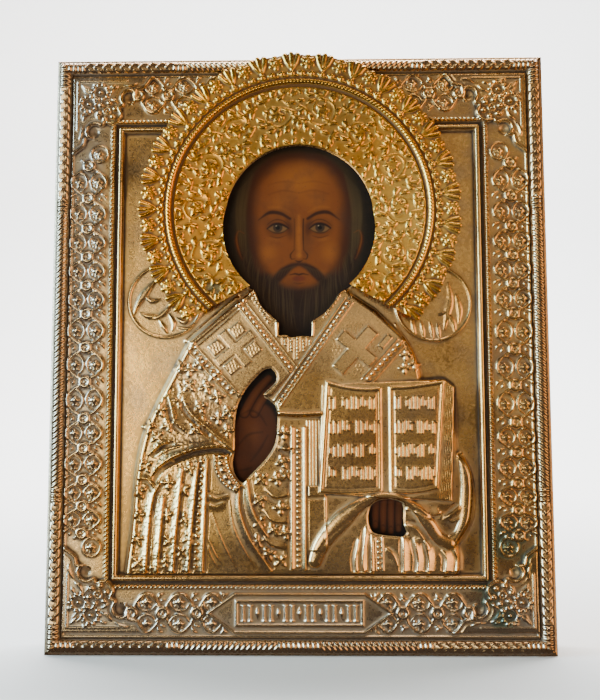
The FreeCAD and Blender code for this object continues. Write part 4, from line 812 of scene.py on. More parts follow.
# %% Robe and sleeve
for half, rise, crease, ends, *points in (
        (1.3, 1.3, 1.2, (0.2, 0.6), (-53.6, 119.5), (-50.0, 108.5), (-46.0, 103.0), (-37.0, 95.6), (-28.6, 88.8)),
        (1.2, 1.2, 1.1, (0.3, 0.2), (-58.2, 114.0), (-56.4, 107.0), (-54.6, 101.0), (-49.0, 96.4)),
        (1.6, 1.5, 2.9, (0.3, 0.6), (-66.0, 76.0), (-62.0, 81.8), (-54.0, 86.6), (-44.0, 89.8), (-34.0, 90.6),
         (-29.4, 88.4)),
        (1.2, 1.1, 2.0, (0.3, 0.2), (-66.2, 87.0), (-61.0, 91.4), (-55.4, 93.0)),
        (0.9, 0.7, 0.5, (0.2, 0.2), (-64.0, 83.0), (-60.0, 88.0), (-50.0, 91.0), (-44.0, 92.6)),
        (1.2, 1.0, 0.8, (0.5, 0.5), (-71.0, 76.5), (-66.6, 76.0), (-63.0, 71.4))):
    fold(cover_die, points, half, rise, crease, -1, ends)
for points in (((-61.4, 74.0), (-64.6, 67.0), (-66.4, 51.0), (-67.2, 36.0)),
               ((-59.6, 68.0), (-60.8, 55.0), (-62.2, 36.0)),
               ((-51.6, 80.6), (-53.0, 65.0), (-54.4, 50.0), (-55.2, 36.0)),
               ((-44.6, 83.4), (-46.8, 60.0), (-48.6, 36.0)), ((-40.6, 84.6), (-41.6, 60.0), (-42.4, 36.0))):
    fold(cover_die, points, 1.0, 1.35, 0.9, 1, (0.6, 0.9))
fold(cover_die, ((-64.0, 62.0), (-64.6, 50.0), (-64.9, 37.0)), 0.6, 0.6, 0, 1)
for bead_up in np.arange(38.2, 84.0, 3.25):
    cover_die.stud((np.interp(bead_up, (36, 84), (-45.4, -42.6)), bead_up), 1.25, 1.2, lobes=4, depth=0.25)
for *place, turn in (
        (-44.0, 127.0, 20), (-37.0, 121.5, 40), (-36.0, 112.0, 10), (-43.6, 107.6, 30), (-35.4, 102.6, 0),
        (-48.6, 117.0, 45), (-53.0, 125.6, 20), (-61.2, 106.4, 15), (-62.6, 94.6, 40), (-52.8, 110.6, 0),
        (-45.4, 98.0, 45), (-38.0, 92.8, 20), (-30.8, 105.6, 30), (-31.6, 97.0, 10), (-70.4, 70.4, 30),
        (-58.0, 60.6, 10), (-56.8, 49.6, 45), (-58.2, 40.4, 0), (-50.6, 71.6, 30), (-49.6, 58.4, 15),
        (-51.4, 44.6, 40), (-62.8, 38.0, 0), (-70.6, 50.0, 20), (-70.4, 40.0, 45), (-47.6, 80.6, 15),
        (-48.8, 124.0, 0), (-41.0, 116.4, 15), (-58.0, 99.6, 20), (-66.8, 99.0, 0), (-67.6, 81.6, 30),
        (-57.4, 74.6, 0), (-70.2, 60.4, 10), (-47.8, 50.6, 30), (-57.6, 86.0, 45), (-42.2, 100.6, 0)):
    quatrefoil(cover_die, place, 1.95, 0.8, turn)
print("robe: the folds and crosses rise up to", round(float(cover_die.relief.max()), 2), "mm")


# %% [markdown]
# The cloth between them isn't smooth, because the die was punched there. Random lumps, softened twice,
# give that look. They fade out before the figure's rounded edge. The cuff has three rows of pearls.

# %% Punched cloth and cuff
robe = outline(((-78.0, 31.0), (-76.0, 66.0), (-70.0, 100.5), (-58.0, 124.0), (-51.0, 134.0)),
               ((-51.0, 134.0), (-29.6, 110.5)), ((-29.6, 110.5), (-31.0, 90.0), (-40.5, 86.0)),
               ((-40.5, 86.0), (-41.6, 60.0), (-42.6, 31.0)), ((-42.6, 31.0), (-78.0, 31.0)))
part = cover_die.window(robe.min(0), robe.max(0))
depth = cover_die.inside(part, robe)
lumps = np.random.default_rng(41).normal(size=depth.shape)
for _ in range(2):
    lumps = (lumps + sum(np.roll(lumps, step, axis) for step in (-1, 1) for axis in (0, 1))) / 5
cover_die.relief[part] += 0.17 * lumps * ease(depth / 1.5) * ease((inside_figure[part] - 3.6) / 1.2)
cuff = outline(((-37.6, 86.6), (-37.4, 80.0), (-33.6, 73.6), (-27.6, 69.6)), ((-27.6, 69.6), (-24.6, 73.0)),
               ((-24.6, 73.0), (-28.4, 77.6), (-30.4, 83.0), (-30.6, 87.4)), ((-30.6, 87.4), (-37.6, 86.6)))
cover_die.platform(cuff, 1.0, 0.8)
cover_die.settle("robe and cuff")
outer = curve(((-37.6, 86.0), (-37.2, 80.0), (-33.6, 74.0), (-28.0, 70.4)), 0.5)
inner = curve(((-31.0, 86.8), (-30.6, 83.0), (-28.6, 77.8), (-25.2, 73.4)), 0.5)
for share, bead, count in ((0.12, 0.62, 11), (0.52, 1.25, 6), (0.9, 0.55, 11)):
    for step in np.linspace(0.03, 0.97, count):
        a, b = outer[int(step * (len(outer) - 1))], inner[int(step * (len(inner) - 1))]
        cover_die.stud(a + (b - a) * share, bead, 0.75)
fold(cover_die, ((-41.0, 66.0), (-37.0, 64.0), (-33.0, 65.6)), 0.9, 0.6, 0.4, 1)
fold(cover_die, ((-40.6, 70.0), (-36.4, 67.6), (-31.6, 68.4)), 0.8, 0.6, 0.4, 1)
print("cuff: rows of 11, 6 and 11 pearls")


# %% [markdown]
# In front the robe hangs in folds from the cuff. A band with lobed beads runs down its middle, and beside it
# come narrow pleats and two plain panels.

# %% Front of the robe
fold(cover_die, ((-26.6, 72.6), (-26.2, 62.0), (-21.6, 50.0), (-12.4, 36.6)), 1.0, 1.2, 0.8, 1, (0.6, 0.9))
fold(cover_die, ((-23.2, 75.6), (-20.6, 62.4), (-14.6, 52.0), (-12.6, 50.0)), 1.0, 1.2, 0.7, 1, (0.6, 0.5))
for points in (((-38.6, 63.0), (-34.0, 50.0), (-27.6, 37.0)), ((-40.4, 52.0), (-37.0, 44.0), (-33.6, 39.0)),
               ((-40.6, 48.0), (-38.0, 41.6), (-35.6, 37.4)), ((-30.4, 66.6), (-28.4, 54.0), (-20.0, 38.0))):
    cover_die.stroke(points, 0.45, 0.4, ends=(0.4, 0.4))
for points in (((-15.2, 62.6), (-11.6, 58.2), (-5.4, 57.4)), ((-16.6, 53.4), (-12.6, 48.2), (-6.4, 46.4)),
               ((-14.4, 71.6), (-10.4, 68.4), (-5.0, 69.4)), ((-8.4, 90.0), (-5.2, 89.2), (-3.8, 90.4))):
    fold(cover_die, points, 1.5, 1.0, 0.8, -1, (0.3, 0.4))
for *place, turn in (
        (-6.4, 96.0, 0), (-7.0, 83.4, 20), (-16.6, 76.0, 40), (-9.6, 76.0, 10), (-17.6, 66.6, 30), (-8.0, 63.4, 0),
        (-17.4, 57.6, 45), (-5.8, 52.6, 10), (-13.6, 43.6, 20), (-8.4, 40.6, 45), (-18.0, 49.0, 10),
        (-5.6, 77.6, 45), (-11.0, 54.0, 30)):
    quatrefoil(cover_die, place, 1.95, 0.8, turn)
for line_x, side in ((-3.2, 1), (2.6, -1)):
    fold(cover_die, ((line_x, 37.0), (line_x, 68.0), (line_x, 98.6)), 0.7, 1.1, 0.4, side, (0.9, 0.9))
for bead_up in np.arange(38.4, 98.6, 2.35):
    cover_die.stud((-0.3, bead_up), 1.1, 0.95, lobes=4, depth=0.2, turn=45)
part = cover_die.window((3.4, 73.0), (9.4, 101.4))
pleats = 0.5 + 0.5 * np.cos(2 * np.pi * (cover_die.x[part] - 3.6) / 1.35)
cover_die.raise_relief(part, 0.55 * pleats)
bar(cover_die, (7.6, 70.6), 0, 4.0, 2.5, 0.9)
bar(cover_die, (7.6, 56.0), 0, 4.0, 11.0, 0.35)
cover_die.stroke(((11.6, 45.0), (11.4, 68.0)), 0.5, 0.5, smooth=False)
for place in ((46.8, 124.6), (51.4, 126.4), (47.4, 130.4)):
    quatrefoil(cover_die, place, 1.6, 0.8)
cover_die.stroke(((43.0, 144.6), (46.2, 139.4), (50.4, 132.0), (53.0, 124.0)), 0.6, 0.5)
cover_die.settle("front of the robe")


# %% [markdown]
# The open book stands highest of all. Its pages bow up from the spine, so their level follows the distance
# from it. On the real book the rows are words. Here each row is a line of plain reeded bars.

# %% Book
BOOK_SPINE, BOOK_LEVEL = 37.4, 6.4
block = np.array([(10.0, 117.8), (64.4, 119.6), (68.6, 116.4), (66.8, 66.2), (47.0, 67.0), (8.2, 69.6)])
part = cover_die.window(block.min(0), block.max(0), 1.5)
depth = cover_die.inside(part, block)
level = cover_die.ground[part]
level = np.where(depth > -0.2, np.maximum(level * (depth < 0.5), 3.2 + 2.4 * ease(depth / 0.5)), level)
page_lines = 0.12 * np.sin(2 * np.pi * (cover_die.x[part] + 0.06 * cover_die.z[part]) / 0.95)
level = np.where((depth > 0.4) & (cover_die.x[part] > 60.5), level + page_lines, level)
cover_die.ground[part] = level
for page in (
        outline(((8.6, 70.0), (11.8, 119.2)), ((11.8, 119.2), (19.8, 117.0), (27.8, 116.0), (36.6, 116.2)),
                ((36.6, 116.2), (36.6, 70.2)), ((36.6, 70.2), (32.8, 70.0), (20.0, 69.4), (8.6, 70.0))),
        outline(((39.2, 116.6), (47.6, 117.0), (56.4, 118.2), (64.2, 119.4)), ((64.2, 119.4), (60.8, 71.6)),
                ((60.8, 71.6), (54.4, 70.2), (47.6, 69.4), (39.2, 70.0)), ((39.2, 70.0), (39.2, 116.6)))):
    part = cover_die.window(page.min(0), page.max(0), 1.0)
    depth = cover_die.inside(part, page)
    from_spine = np.abs(cover_die.x[part] - BOOK_SPINE)
    bowed = BOOK_LEVEL - 1.3 * np.exp(-from_spine / 2.2) + 0.25 * np.sin(np.clip(from_spine / 25, 0, 1) * np.pi)
    frame_line = 0.22 * rounded(depth - 0.9, 0.8) - 0.15 * rounded(depth - 2.2, 0.6)
    level = cover_die.ground[part]
    cover_die.ground[part] = np.where(depth > 0, level + (bowed + frame_line - level) * ease(depth / 0.5), level)
for first, last in ((12.6, 34.4), (41.6, 59.6)):
    for row, middle_up in enumerate((109.2, 98.6, 88.4, 78.6)):
        for place in range(11):
            middle_x = first + (last - first) * (place + 0.5) / 11
            high, low = ((2.6, 2.6), (2.6, 1.2), (1.4, 2.6), (2.6, 2.6), (1.0, 1.2))[(place * 3 + row * 2) % 5]
            if (place * 2 + row * 3) % 9 != 4:
                cover_die.stroke(((middle_x, middle_up - low), (middle_x, middle_up + high)), 0.52, 0.42, smooth=False)
            if place % 3 == row % 3:
                cover_die.stroke(((middle_x, middle_up + 2.4), (middle_x + 1.6, middle_up + 2.2)), 0.45, 0.36,
                                 smooth=False)
cover_die.settle("book")


# %% [markdown]
# A band of cloth runs over the hand that carries the book, and turns up at the right in a deep loop. It is a
# round ridge that widens as it falls. Under it hang straight folds with another beaded band.

# %% Drape under the book
for line_x, top in ((24.4, 50.0), (27.6, 55.0), (31.6, 52.0), (45.4, 51.0), (51.6, 50.0), (56.2, 49.0),
                    (63.8, 45.0), (68.8, 46.0)):
    lean = -1.6 if line_x < 30 else (1.6 if line_x > 50 else 0)
    fold(cover_die, ((line_x + lean * -0.2, 36.2), (line_x, 42.0), (line_x - lean, top)), 1.0, 1.2, 0.7, 1, (0.9, 0.4))
beaded_border(cover_die, ((34.8, 36.4), (34.6, 44.0), (34.4, 50.6)), 1.6, 0.9, 2.3, 1.0)
fold(cover_die, ((38.0, 46.0), (41.0, 43.0), (42.6, 38.6)), 0.9, 0.7, 0.5, 1)
cover_die.settle("folds under the book")
for half, rise, ends, *points in (
        (3.7, 1.35, (0.75, 0.5), (64.6, 48.6), (69.6, 51.4), (72.9, 58.6), (73.9, 67.3), (73.3, 76.3), (71.0, 86.0)),
        (2.9, 1.8, (0.5, 1.0), (45.0, 67.6), (51.4, 62.8), (56.3, 56.6), (60.3, 50.9), (65.2, 48.2)),
        (4.2, 2.0, (0.75, 0.4), (6.8, 40.6), (9.2, 46.9), (13.8, 53.2), (19.9, 59.4), (26.9, 65.0), (33.6, 68.0)),
        (1.7, 2.0, (0.7, 0.7), (23.0, 63.4), (30.0, 67.2), (37.4, 68.7), (43.6, 67.9), (49.0, 65.0))):
    cover_die.stroke(points, half, rise, ends=ends)
fold(cover_die, ((63.0, 58.6), (66.6, 61.0), (70.0, 63.6)), 1.3, 1.1, 0.7, 1, (0.3, 0.8))
fold(cover_die, ((70.6, 60.0), (66.6, 57.6), (63.0, 60.4)), 0.9, 0.8, 0, 1, (0.5, 0.3))
fold(cover_die, ((47.0, 64.6), (52.0, 63.6), (57.0, 60.6), (61.0, 61.4)), 1.0, 0.9, 0.6, -1)
fold(cover_die, ((46.4, 56.0), (50.4, 54.6), (54.0, 50.0), (56.6, 46.0)), 1.1, 0.9, 0.8, 1)
fold(cover_die, ((6.0, 44.0), (12.0, 51.6), (20.0, 58.6), (27.6, 63.0)), 0.9, 0.75, 0.4, -1, (0.3, 0.3))
cover_die.stud((46.8, 65.4), 1.3, 1.2)
cover_die.stud((47.4, 63.0), 1.0, 1.0)
cover_die.settle("drape")


# %% [markdown]
# The nimbus is a separate plate with its own die. Everything on it repeats round its centre, so its helper
# takes a direction in degrees and a radius. The rim has twenty-nine units, each with a rosette and a
# palmette of three fingers, and the field inside the twisted ring is covered with curling stems.

# %% The nimbus die: rim, ring and beads
NIMBUS_CENTRE, NIMBUS_RADIUS = (0.39, 196.4), 73.2
HEAD_CENTRE, HEAD_RADIUS = (0.37, 193.0), 33.2
CHEEK_CENTRE, CHEEK_RADIUS = (0.1, 188.0), 34.2
NIMBUS_FRONT = 5.7
RIM_RADIUS, RING_RADIUS, FIELD_RADIUS = 70.6, 59.1, 56.5
UNITS, FIRST_ROSETTE = 29, 86.7
UNIT_TURN = 360 / UNITS

nimbus_die = Die((-73.4, 143.4), (74.2, 270.0), NIMBUS_CELLS)
nimbus_die.ground[:] = NIMBUS_FRONT
from_centre = nimbus_die.gap_from(NIMBUS_CENTRE)
direction = np.degrees(np.arctan2(nimbus_die.z - NIMBUS_CENTRE[1], nimbus_die.x - NIMBUS_CENTRE[0]))
from_rosette = ((direction - FIRST_ROSETTE) / UNIT_TURN + 0.5) % 1.0 - 0.5
arc_from_rosette = np.radians(from_rosette * UNIT_TURN) * 71
arc_from_palmette = np.radians((np.abs(from_rosette) - 0.5) * UNIT_TURN) * 71


def from_head_hole(x, z):
    """The distance from the head's opening, which is round above and a little wider at the cheeks."""
    return np.minimum(np.hypot(x - HEAD_CENTRE[0], z - HEAD_CENTRE[1]) - HEAD_RADIUS,
                      np.hypot(x - CHEEK_CENTRE[0], z - CHEEK_CENTRE[1]) - CHEEK_RADIUS)


def on_nimbus(degrees, radius):
    """The point of the nimbus in a direction from its centre."""
    return polar(NIMBUS_CENTRE, degrees, radius)


rim = np.full(from_centre.shape, RIM_RADIUS)
for offset, height, half in ((0.0, 1.3, 1.6), (2.7, 0.9, 1.5)):
    rim = np.maximum(rim, RIM_RADIUS + (0.2 + height) * rounded(np.abs(arc_from_rosette) - offset, half))
for offset, height, half in ((0.0, 2.6, 1.35), (-2.75, 2.2, 1.45)):
    rim = np.maximum(rim, RIM_RADIUS + height * rounded(arc_from_palmette - offset, half))
nimbus_depth = np.minimum(rim - from_centre, from_head_hole(nimbus_die.x, nimbus_die.z))
above_shoulders = np.full(from_centre.shape, -1e9)
for side, root, tip in ((-1, (-20.7, 162.3), (-53.0, 144.2)), (1, (22.4, 162.3), (54.4, 144.2))):
    slope = np.array(tip) - root
    normal = np.array((-slope[1], slope[0])) * side / np.linalg.norm(slope)
    above_line = (nimbus_die.x - root[0]) * normal[0] + (nimbus_die.z - root[1]) * normal[1]
    above_shoulders = np.maximum(above_shoulders, above_line)
nimbus_depth = np.minimum(nimbus_depth, above_shoulders)

for unit in range(UNITS):
    middle = FIRST_ROSETTE + unit * UNIT_TURN
    place = on_nimbus(middle, 68.4)
    for petal in range(6):
        nimbus_die.stud(polar(place, middle + 60 * petal, 2.45), 1.15, 0.75)
    nimbus_die.ring(place, 1.55, 0.6, 0.95)
    nimbus_die.stud(place, 1.1, 1.5)
    middle += UNIT_TURN / 2
    for finger, top in ((-2.55, 71.5), (0, 72.1), (2.55, 71.5)):
        nimbus_die.stroke((on_nimbus(middle + finger * 0.3, 65.4), on_nimbus(middle + finger * 0.75, 68.8),
                           on_nimbus(middle + finger, top)), 1.15, 1.0, ends=(0.4, 1.0))
    nimbus_die.stud(on_nimbus(middle, 64.9), 0.9, 0.9)
    for bead in (-1, 0, 1):
        turn = middle + bead * UNIT_TURN / 3
        nimbus_die.stud(on_nimbus(turn, 63.2), 1.3, 1.05)
        nimbus_die.stroke((on_nimbus(turn - 1.9, 62.0), on_nimbus(turn - 0.2, 61.6), on_nimbus(turn + 1.5, 63.2)),
                          0.6, 0.75)
ring_gap = from_centre - RING_RADIUS
twisted = 0.22 * np.cos(2 * np.pi * (np.radians(direction) * RING_RADIUS / 1.6 + ring_gap / 2.0))
nimbus_die.raise_relief(slice(None), (1.45 + twisted) * rounded(ring_gap, 1.3))
nimbus_die.ground -= 0.8 * ease(1 - np.abs(from_centre - 57.2) / 0.9)
nimbus_die.ground -= 0.3 * ease(1 - np.abs(from_centre - 61.0) / 0.6)
nimbus_die.ground -= 0.35 * ease((FIELD_RADIUS - from_centre) / 2.0)
print("nimbus:", UNITS, "units of", round(UNIT_TURN, 2), "degrees round the rim")


# %% [markdown]
# The foliage is one stem that curls left and right by turns, with fans of small leaves inside each curl.
# Between the curls a carver fills the ground with sprigs of three leaves, and then with single leaves
# where there is still room. We do the same: a sprig is tried at one place after another, and it stays only
# where no leaf lies near. Every leaf follows the swing of the nearest curl, so the field seems to move.

# %% The foliage of the nimbus
chance = np.random.default_rng(7)
leaf_spots = []


def leaf_at(place, turn, length, half, rise, bend=0.15):
    """A plump leaf with its middle at a place."""
    root, tip = polar(place, turn + 180, length / 2), polar(place, turn, length / 2)
    nimbus_die.stroke((root, polar(place, turn + 90, length * bend), tip), half, rise, ends=(0.7, 0.25))
    leaf_spots.append(place)


def sprig(place, turn, size, rise):
    """Three leaves on a short stem."""
    nimbus_die.stroke((polar(place, turn + 180, size), place), 0.34, rise * 0.4, ends=(0.6, 1.0), smooth=False)
    for side, reach in ((-1, 0.62), (1, 0.62), (0, 0.78)):
        leaf_at(polar(place, turn + side * 62, size * reach), turn + side * 48, size, 1.25, rise, side * 0.16)


def scroll(place, turn, size, hand, rise):
    """A stem that winds in round a place, with leaves at its end and along its back."""
    steps = [polar(place, turn + hand * angle, size * reach)
             for angle, reach in ((-30, 1.3), (0, 1.1), (50, 1.0), (100, 0.97), (150, 0.93), (200, 0.86),
                                  (250, 0.76), (300, 0.62), (345, 0.45))]
    nimbus_die.stroke(steps, 0.6, rise * 0.5, ends=(0.7, 0.7))
    nimbus_die.stroke([polar(place, turn + hand * angle, size * 0.62) for angle in (20, 80, 140, 200)], 0.4,
                      rise * 0.35, ends=(0.5, 0.4))
    nimbus_die.stud(place, 0.8, rise * 1.1)
    leaf_spots.append(place)
    for leaf_turn in (0, 60, 122, 185, 250):
        leaf_at(polar(place, turn + leaf_turn, size * 0.33), turn + leaf_turn + hand * 25, size * 0.5, 1.35,
                rise * 1.15)
    for angle in (35, 85, 135, 185, 235):
        leaf_at(polar(place, turn + hand * angle, size * 1.24), turn + hand * (angle + 48), size * 0.5, 1.3, rise)


SCROLLS, TRIALS, LEAF_RISE = 14, 1100, 1.05
scroll_places = []
for number in range(SCROLLS):
    around = 90 + (number + 0.5) * 360 / SCROLLS
    hand = 1 if number % 2 else -1
    scroll_places.append((on_nimbus(around, 45.6 + 0.7 * hand), hand))
    scroll(scroll_places[-1][0], around + 90 * hand + 60, 6.6, hand, LEAF_RISE)
    next_to = around + 180 / SCROLLS
    sprig(on_nimbus(next_to, 45.8 - 4.6 * hand), next_to + 90 + 90 * hand, 3.1, LEAF_RISE)
for kind, spacing, hole_gap, reach in (("sprig", 5.0, 2.6, 53), ("leaf", 3.1, 1.7, FIELD_RADIUS)):
    for _ in range(TRIALS):
        place = on_nimbus(chance.uniform(0, 360), chance.uniform(35.4, 54.7))
        if from_head_hole(*place) < hole_gap or math.dist(place, NIMBUS_CENTRE) > reach:
            continue
        if min(math.dist(place, other) for other in leaf_spots) < spacing:
            continue
        middle, hand = min(scroll_places, key=lambda entry: math.dist(entry[0], place))
        swing = math.degrees(math.atan2(place[1] - middle[1], place[0] - middle[0])) + hand * chance.uniform(20, 75)
        if kind == "sprig":
            sprig(place, swing, 3.1, LEAF_RISE)
        else:
            leaf_at(place, swing, chance.uniform(2.8, 3.5), 1.25, LEAF_RISE, chance.uniform(-0.2, 0.2))
for number in range(84):
    around = number * 360 / 84
    leaf_at(on_nimbus(around, 54.9), around + (35 if number % 2 else -30), 2.8, 1.05, 1.0, 0.1)
for number in range(54):
    around = number * 360 / 54
    leaf_at(polar(HEAD_CENTRE, around, 35.2), around + (40 if number % 2 else -35), 2.7, 0.92, 0.9, 0.1)
nimbus_die.relief *= np.where(from_centre < FIELD_RADIUS, 0.6, 1)
nimbus_die.settle("nimbus")
print("nimbus leaves:", len(leaf_spots))


# %% [markdown]
# The sheet is cut open where the painting shows. Each opening is an outline of smooth runs that meet at the
# corners of the cut. For every point of the die we note how far it lies from the nearest cut: the number is
# positive on the sheet and negative in an opening.

# %% Openings of the cover
CHIN_OPENING = outline(
    ((31.2, 176.6), (-31.2, 176.6)), ((-31.2, 176.6), (-26.0, 165.8)),
    ((-26.0, 165.8), (-20.0, 160.0), (-17.0, 153.0), (-12.0, 148.0), (-9.0, 145.0)), ((-9.0, 145.0), (-9.0, 139.3)),
    ((-9.0, 139.3), (-6.0, 139.6), (-3.4, 138.5), (1.0, 139.0), (5.6, 138.8)), ((5.6, 138.8), (5.7, 145.5)),
    ((5.7, 145.5), (8.0, 147.0), (12.0, 150.0), (16.0, 155.0), (19.0, 160.0), (26.0, 165.8)),
    ((26.0, 165.8), (31.2, 176.6)))
RAISED_HAND_OPENING = outline(
    ((-12.4, 124.8), (-10.3, 122.4), (-9.9, 120.0), (-11.0, 117.8), (-14.0, 115.0), (-15.6, 113.2)),
    ((-15.6, 113.2), (-15.3, 111.8), (-13.0, 110.4), (-10.5, 108.0), (-9.6, 104.0), (-9.7, 98.0), (-10.5, 92.0),
     (-13.0, 87.0), (-17.0, 82.2), (-21.0, 78.2), (-24.6, 74.2)),
    ((-24.6, 74.2), (-26.6, 75.6), (-28.6, 79.0), (-29.2, 83.4), (-28.4, 88.4), (-28.4, 95.0), (-28.1, 103.0),
     (-26.8, 109.0), (-23.0, 116.0), (-18.4, 121.4), (-15.4, 124.0), (-12.4, 124.8)))
BOOK_HAND_OPENING = outline(
    ((30.0, 60.0), (30.4, 56.0), (32.2, 53.0), (36.0, 51.8), (41.0, 51.3), (45.0, 51.2), (46.8, 53.0)),
    ((46.8, 53.0), (45.8, 55.5), (45.3, 59.0), (45.5, 63.0), (44.8, 65.4)),
    ((44.8, 65.4), (42.0, 66.7), (38.0, 67.2), (34.0, 66.3), (31.2, 64.0), (30.0, 60.0)))
cover_depth = np.full(cover_die.x.shape, 9.0)
for opening in (CHIN_OPENING, RAISED_HAND_OPENING, BOOK_HAND_OPENING):
    part = cover_die.window(opening.min(0), opening.max(0), 6)
    cover_depth[part] = np.minimum(cover_depth[part], -cover_die.inside(part, opening))
cover_depth = np.minimum(cover_depth, from_head_hole(cover_die.x, cover_die.z) - 0.6)
print("openings:", round(float((cover_depth < 0).mean()) * 100, 1), "% of the sheet is cut away")


# %% [markdown]
# Brass doesn't take every edge of a die, and a thin sheet is never quite flat. So the sheet hides under the
# nimbus, dips a little beside each cut, waves in the field, and every level is softened with its neighbours.
# Nothing may stand further forward than the solids do, so both dies are held at that front.

# %% From the die to the sheet
SOLIDS_FRONT, UNDER_NIMBUS = 7.2, 5.1


def blurred(level, reach):
    """The mean of the levels round each point, over a square of that many cells each way."""
    for axis in (0, 1):
        padded = np.concatenate([np.repeat(np.take(level, [0], axis), reach + 1, axis), level,
                                 np.repeat(np.take(level, [-1], axis), reach, axis)], axis)
        total = np.cumsum(padded, axis)
        level = (np.take(total, range(2 * reach + 1, total.shape[axis]), axis)
                 - np.take(total, range(0, total.shape[axis] - 2 * reach - 1), axis)) / (2 * reach + 1)
    return level


near_nimbus = cover_die.gap_from(NIMBUS_CENTRE) < NIMBUS_RADIUS + 1
under_nimbus = (cover_die.z > 162.3 - 0.561 * (np.abs(cover_die.x) - 20.7) + 0.6) & near_nimbus
level = np.where(under_nimbus, np.minimum(cover_die.ground, UNDER_NIMBUS), cover_die.ground)
level -= 0.35 * ease(1 - cover_depth / 0.9)
wave = 0.10 * np.sin(cover_die.x / 13.0 + 1.3 * np.sin(cover_die.z / 21.0)) * np.sin(cover_die.z / 17.0 + 0.8)
level += wave * ease(-past_field / 6)
cover_die.ground = np.minimum(0.75 * level + 0.25 * blurred(level, 1), SOLIDS_FRONT)
nimbus_die.ground = np.minimum(0.45 * nimbus_die.ground + 0.55 * blurred(nimbus_die.ground, 1), SOLIDS_FRONT)
print("the sheet's levels: from", round(float(cover_die.ground.min()), 2), "mm to", SOLIDS_FRONT, "mm at most")


# %% [markdown]
# Now the sheet is pressed. Each piece starts as a flat grid primitive at its place, and every point takes
# its level from the die. Points just outside an opening slide onto its edge, so that the rim isn't stepped,
# and the rest outside is deleted. A short wall at each cut gives the sheet its thickness. Two numbers go
# with each point for the materials: how hollow it lies and how worn it is.

# %% Pressing a sheet
EDGE_DEPTH = 0.6


def grid_sheet(name, low, high, cells, level):
    """An upright grid of that many cells between two corners, in millimetres. Returns it and its points."""
    bpy.ops.object.select_all(action="DESELECT")
    bpy.ops.mesh.primitive_grid_add(
        x_subdivisions=cells[0], y_subdivisions=cells[1], size=1, calc_uvs=True, rotation=(math.pi / 2, 0, 0),
        location=((low[0] + high[0]) / 2 * MM, -level * MM, (low[1] + high[1]) / 2 * MM))
    sheet = bpy.context.object
    sheet.name = name
    sheet.scale = (high[0] - low[0]) * MM, (high[1] - low[1]) * MM, 1
    bpy.ops.object.transform_apply(location=True, rotation=True, scale=True)
    sheet.data.uv_layers[0].name = "OFBake"
    spots = np.empty(len(sheet.data.vertices) * 3, np.float32)
    sheet.data.vertices.foreach_get("co", spots)
    return sheet, spots.reshape(-1, 3)


def hollows(die):
    """How hollow each point lies, and how far it stands out, both from 0 to 1."""
    level = die.ground
    near, wide = blurred(blurred(level, 3), 3), blurred(blurred(level, 9), 9)
    below = 0.9 * (near - level) + 0.15 * (wide - level)
    return np.clip(below * 1.35, 0, 1), np.clip((level - near) * 2.2, 0, 1)


def fold_edge(mesh, slid):
    """Gives the sheet its thickness where it is cut: the cut edge is drawn back."""
    corners = np.empty(len(mesh.edges) * 2, int)
    mesh.edges.foreach_get("vertices", corners)
    corners = corners.reshape(-1, 2)
    used = np.empty(len(mesh.loops), int)
    mesh.loops.foreach_get("edge_index", used)
    at_cut = (np.bincount(used, minlength=len(mesh.edges)) == 1) & slid[corners].all(1)
    if at_cut.any():
        edit_only("EDGE", mesh.edges, at_cut)
        bpy.ops.mesh.mark_sharp()
        bpy.ops.mesh.extrude_region_move(TRANSFORM_OT_translate={"value": (0, EDGE_DEPTH * MM, 0)})
        bpy.ops.object.mode_set(mode="OBJECT")


def press(name, die, depth, columns, rows):
    """Presses the sheet between two columns and two rows of a die. Its depth is negative in an opening."""
    low, high = zip(die.lines_x[list(columns)], die.lines_z[list(rows)])
    piece, spots = grid_sheet(name, low, high, (columns[1] - columns[0], rows[1] - rows[0]), 0)
    mesh, at = piece.data, die.lines_at(spots)
    slope_z, slope_x = np.gradient(depth, die.lines_x[1] - die.lines_x[0])
    steep = np.maximum(np.hypot(slope_x, slope_z), 0.5)
    outside = np.minimum(depth, 0)
    spots[:, 0] = (die.x - outside * slope_x / steep ** 2)[at] * MM
    spots[:, 1] = -die.ground[at] * MM
    spots[:, 2] = (die.z - outside * slope_z / steep ** 2)[at] * MM
    mesh.vertices.foreach_set("co", spots.ravel())
    for title, grid in zip(("hollow", "worn"), hollows(die)):
        mesh.attributes.new(title, "FLOAT", "POINT").data.foreach_set("value", grid[at].astype(np.float32))
    keep = depth > 0
    grown = keep.copy()
    for down_step in (-1, 0, 1):
        for right_step in (-1, 0, 1):
            grown |= np.roll(np.roll(keep, down_step, 0), right_step, 1)
    if not grown[at].all():
        edit_only("VERT", mesh.vertices, ~grown[at])
        bpy.ops.mesh.delete(type="VERT")
        bpy.ops.object.mode_set(mode="OBJECT")
    bpy.ops.object.shade_smooth()
    fold_edge(mesh, (depth <= 0)[at][grown[at]])
    return piece


print("a sheet's cut edge is drawn back by", EDGE_DEPTH, "mm")


# %% [markdown]
# The cover is pressed in eight pieces and the nimbus in two, each of under 200,000 triangles. They meet on
# the same lines of the die, so no seam shows. The solid that each piece stands for is hidden.

# %% The pressed sheets
def halves(cells):
    """The left and the right half of a die's columns, with their names."""
    return ("left", (0, cells[0] // 2)), ("right", (cells[0] // 2, cells[0]))


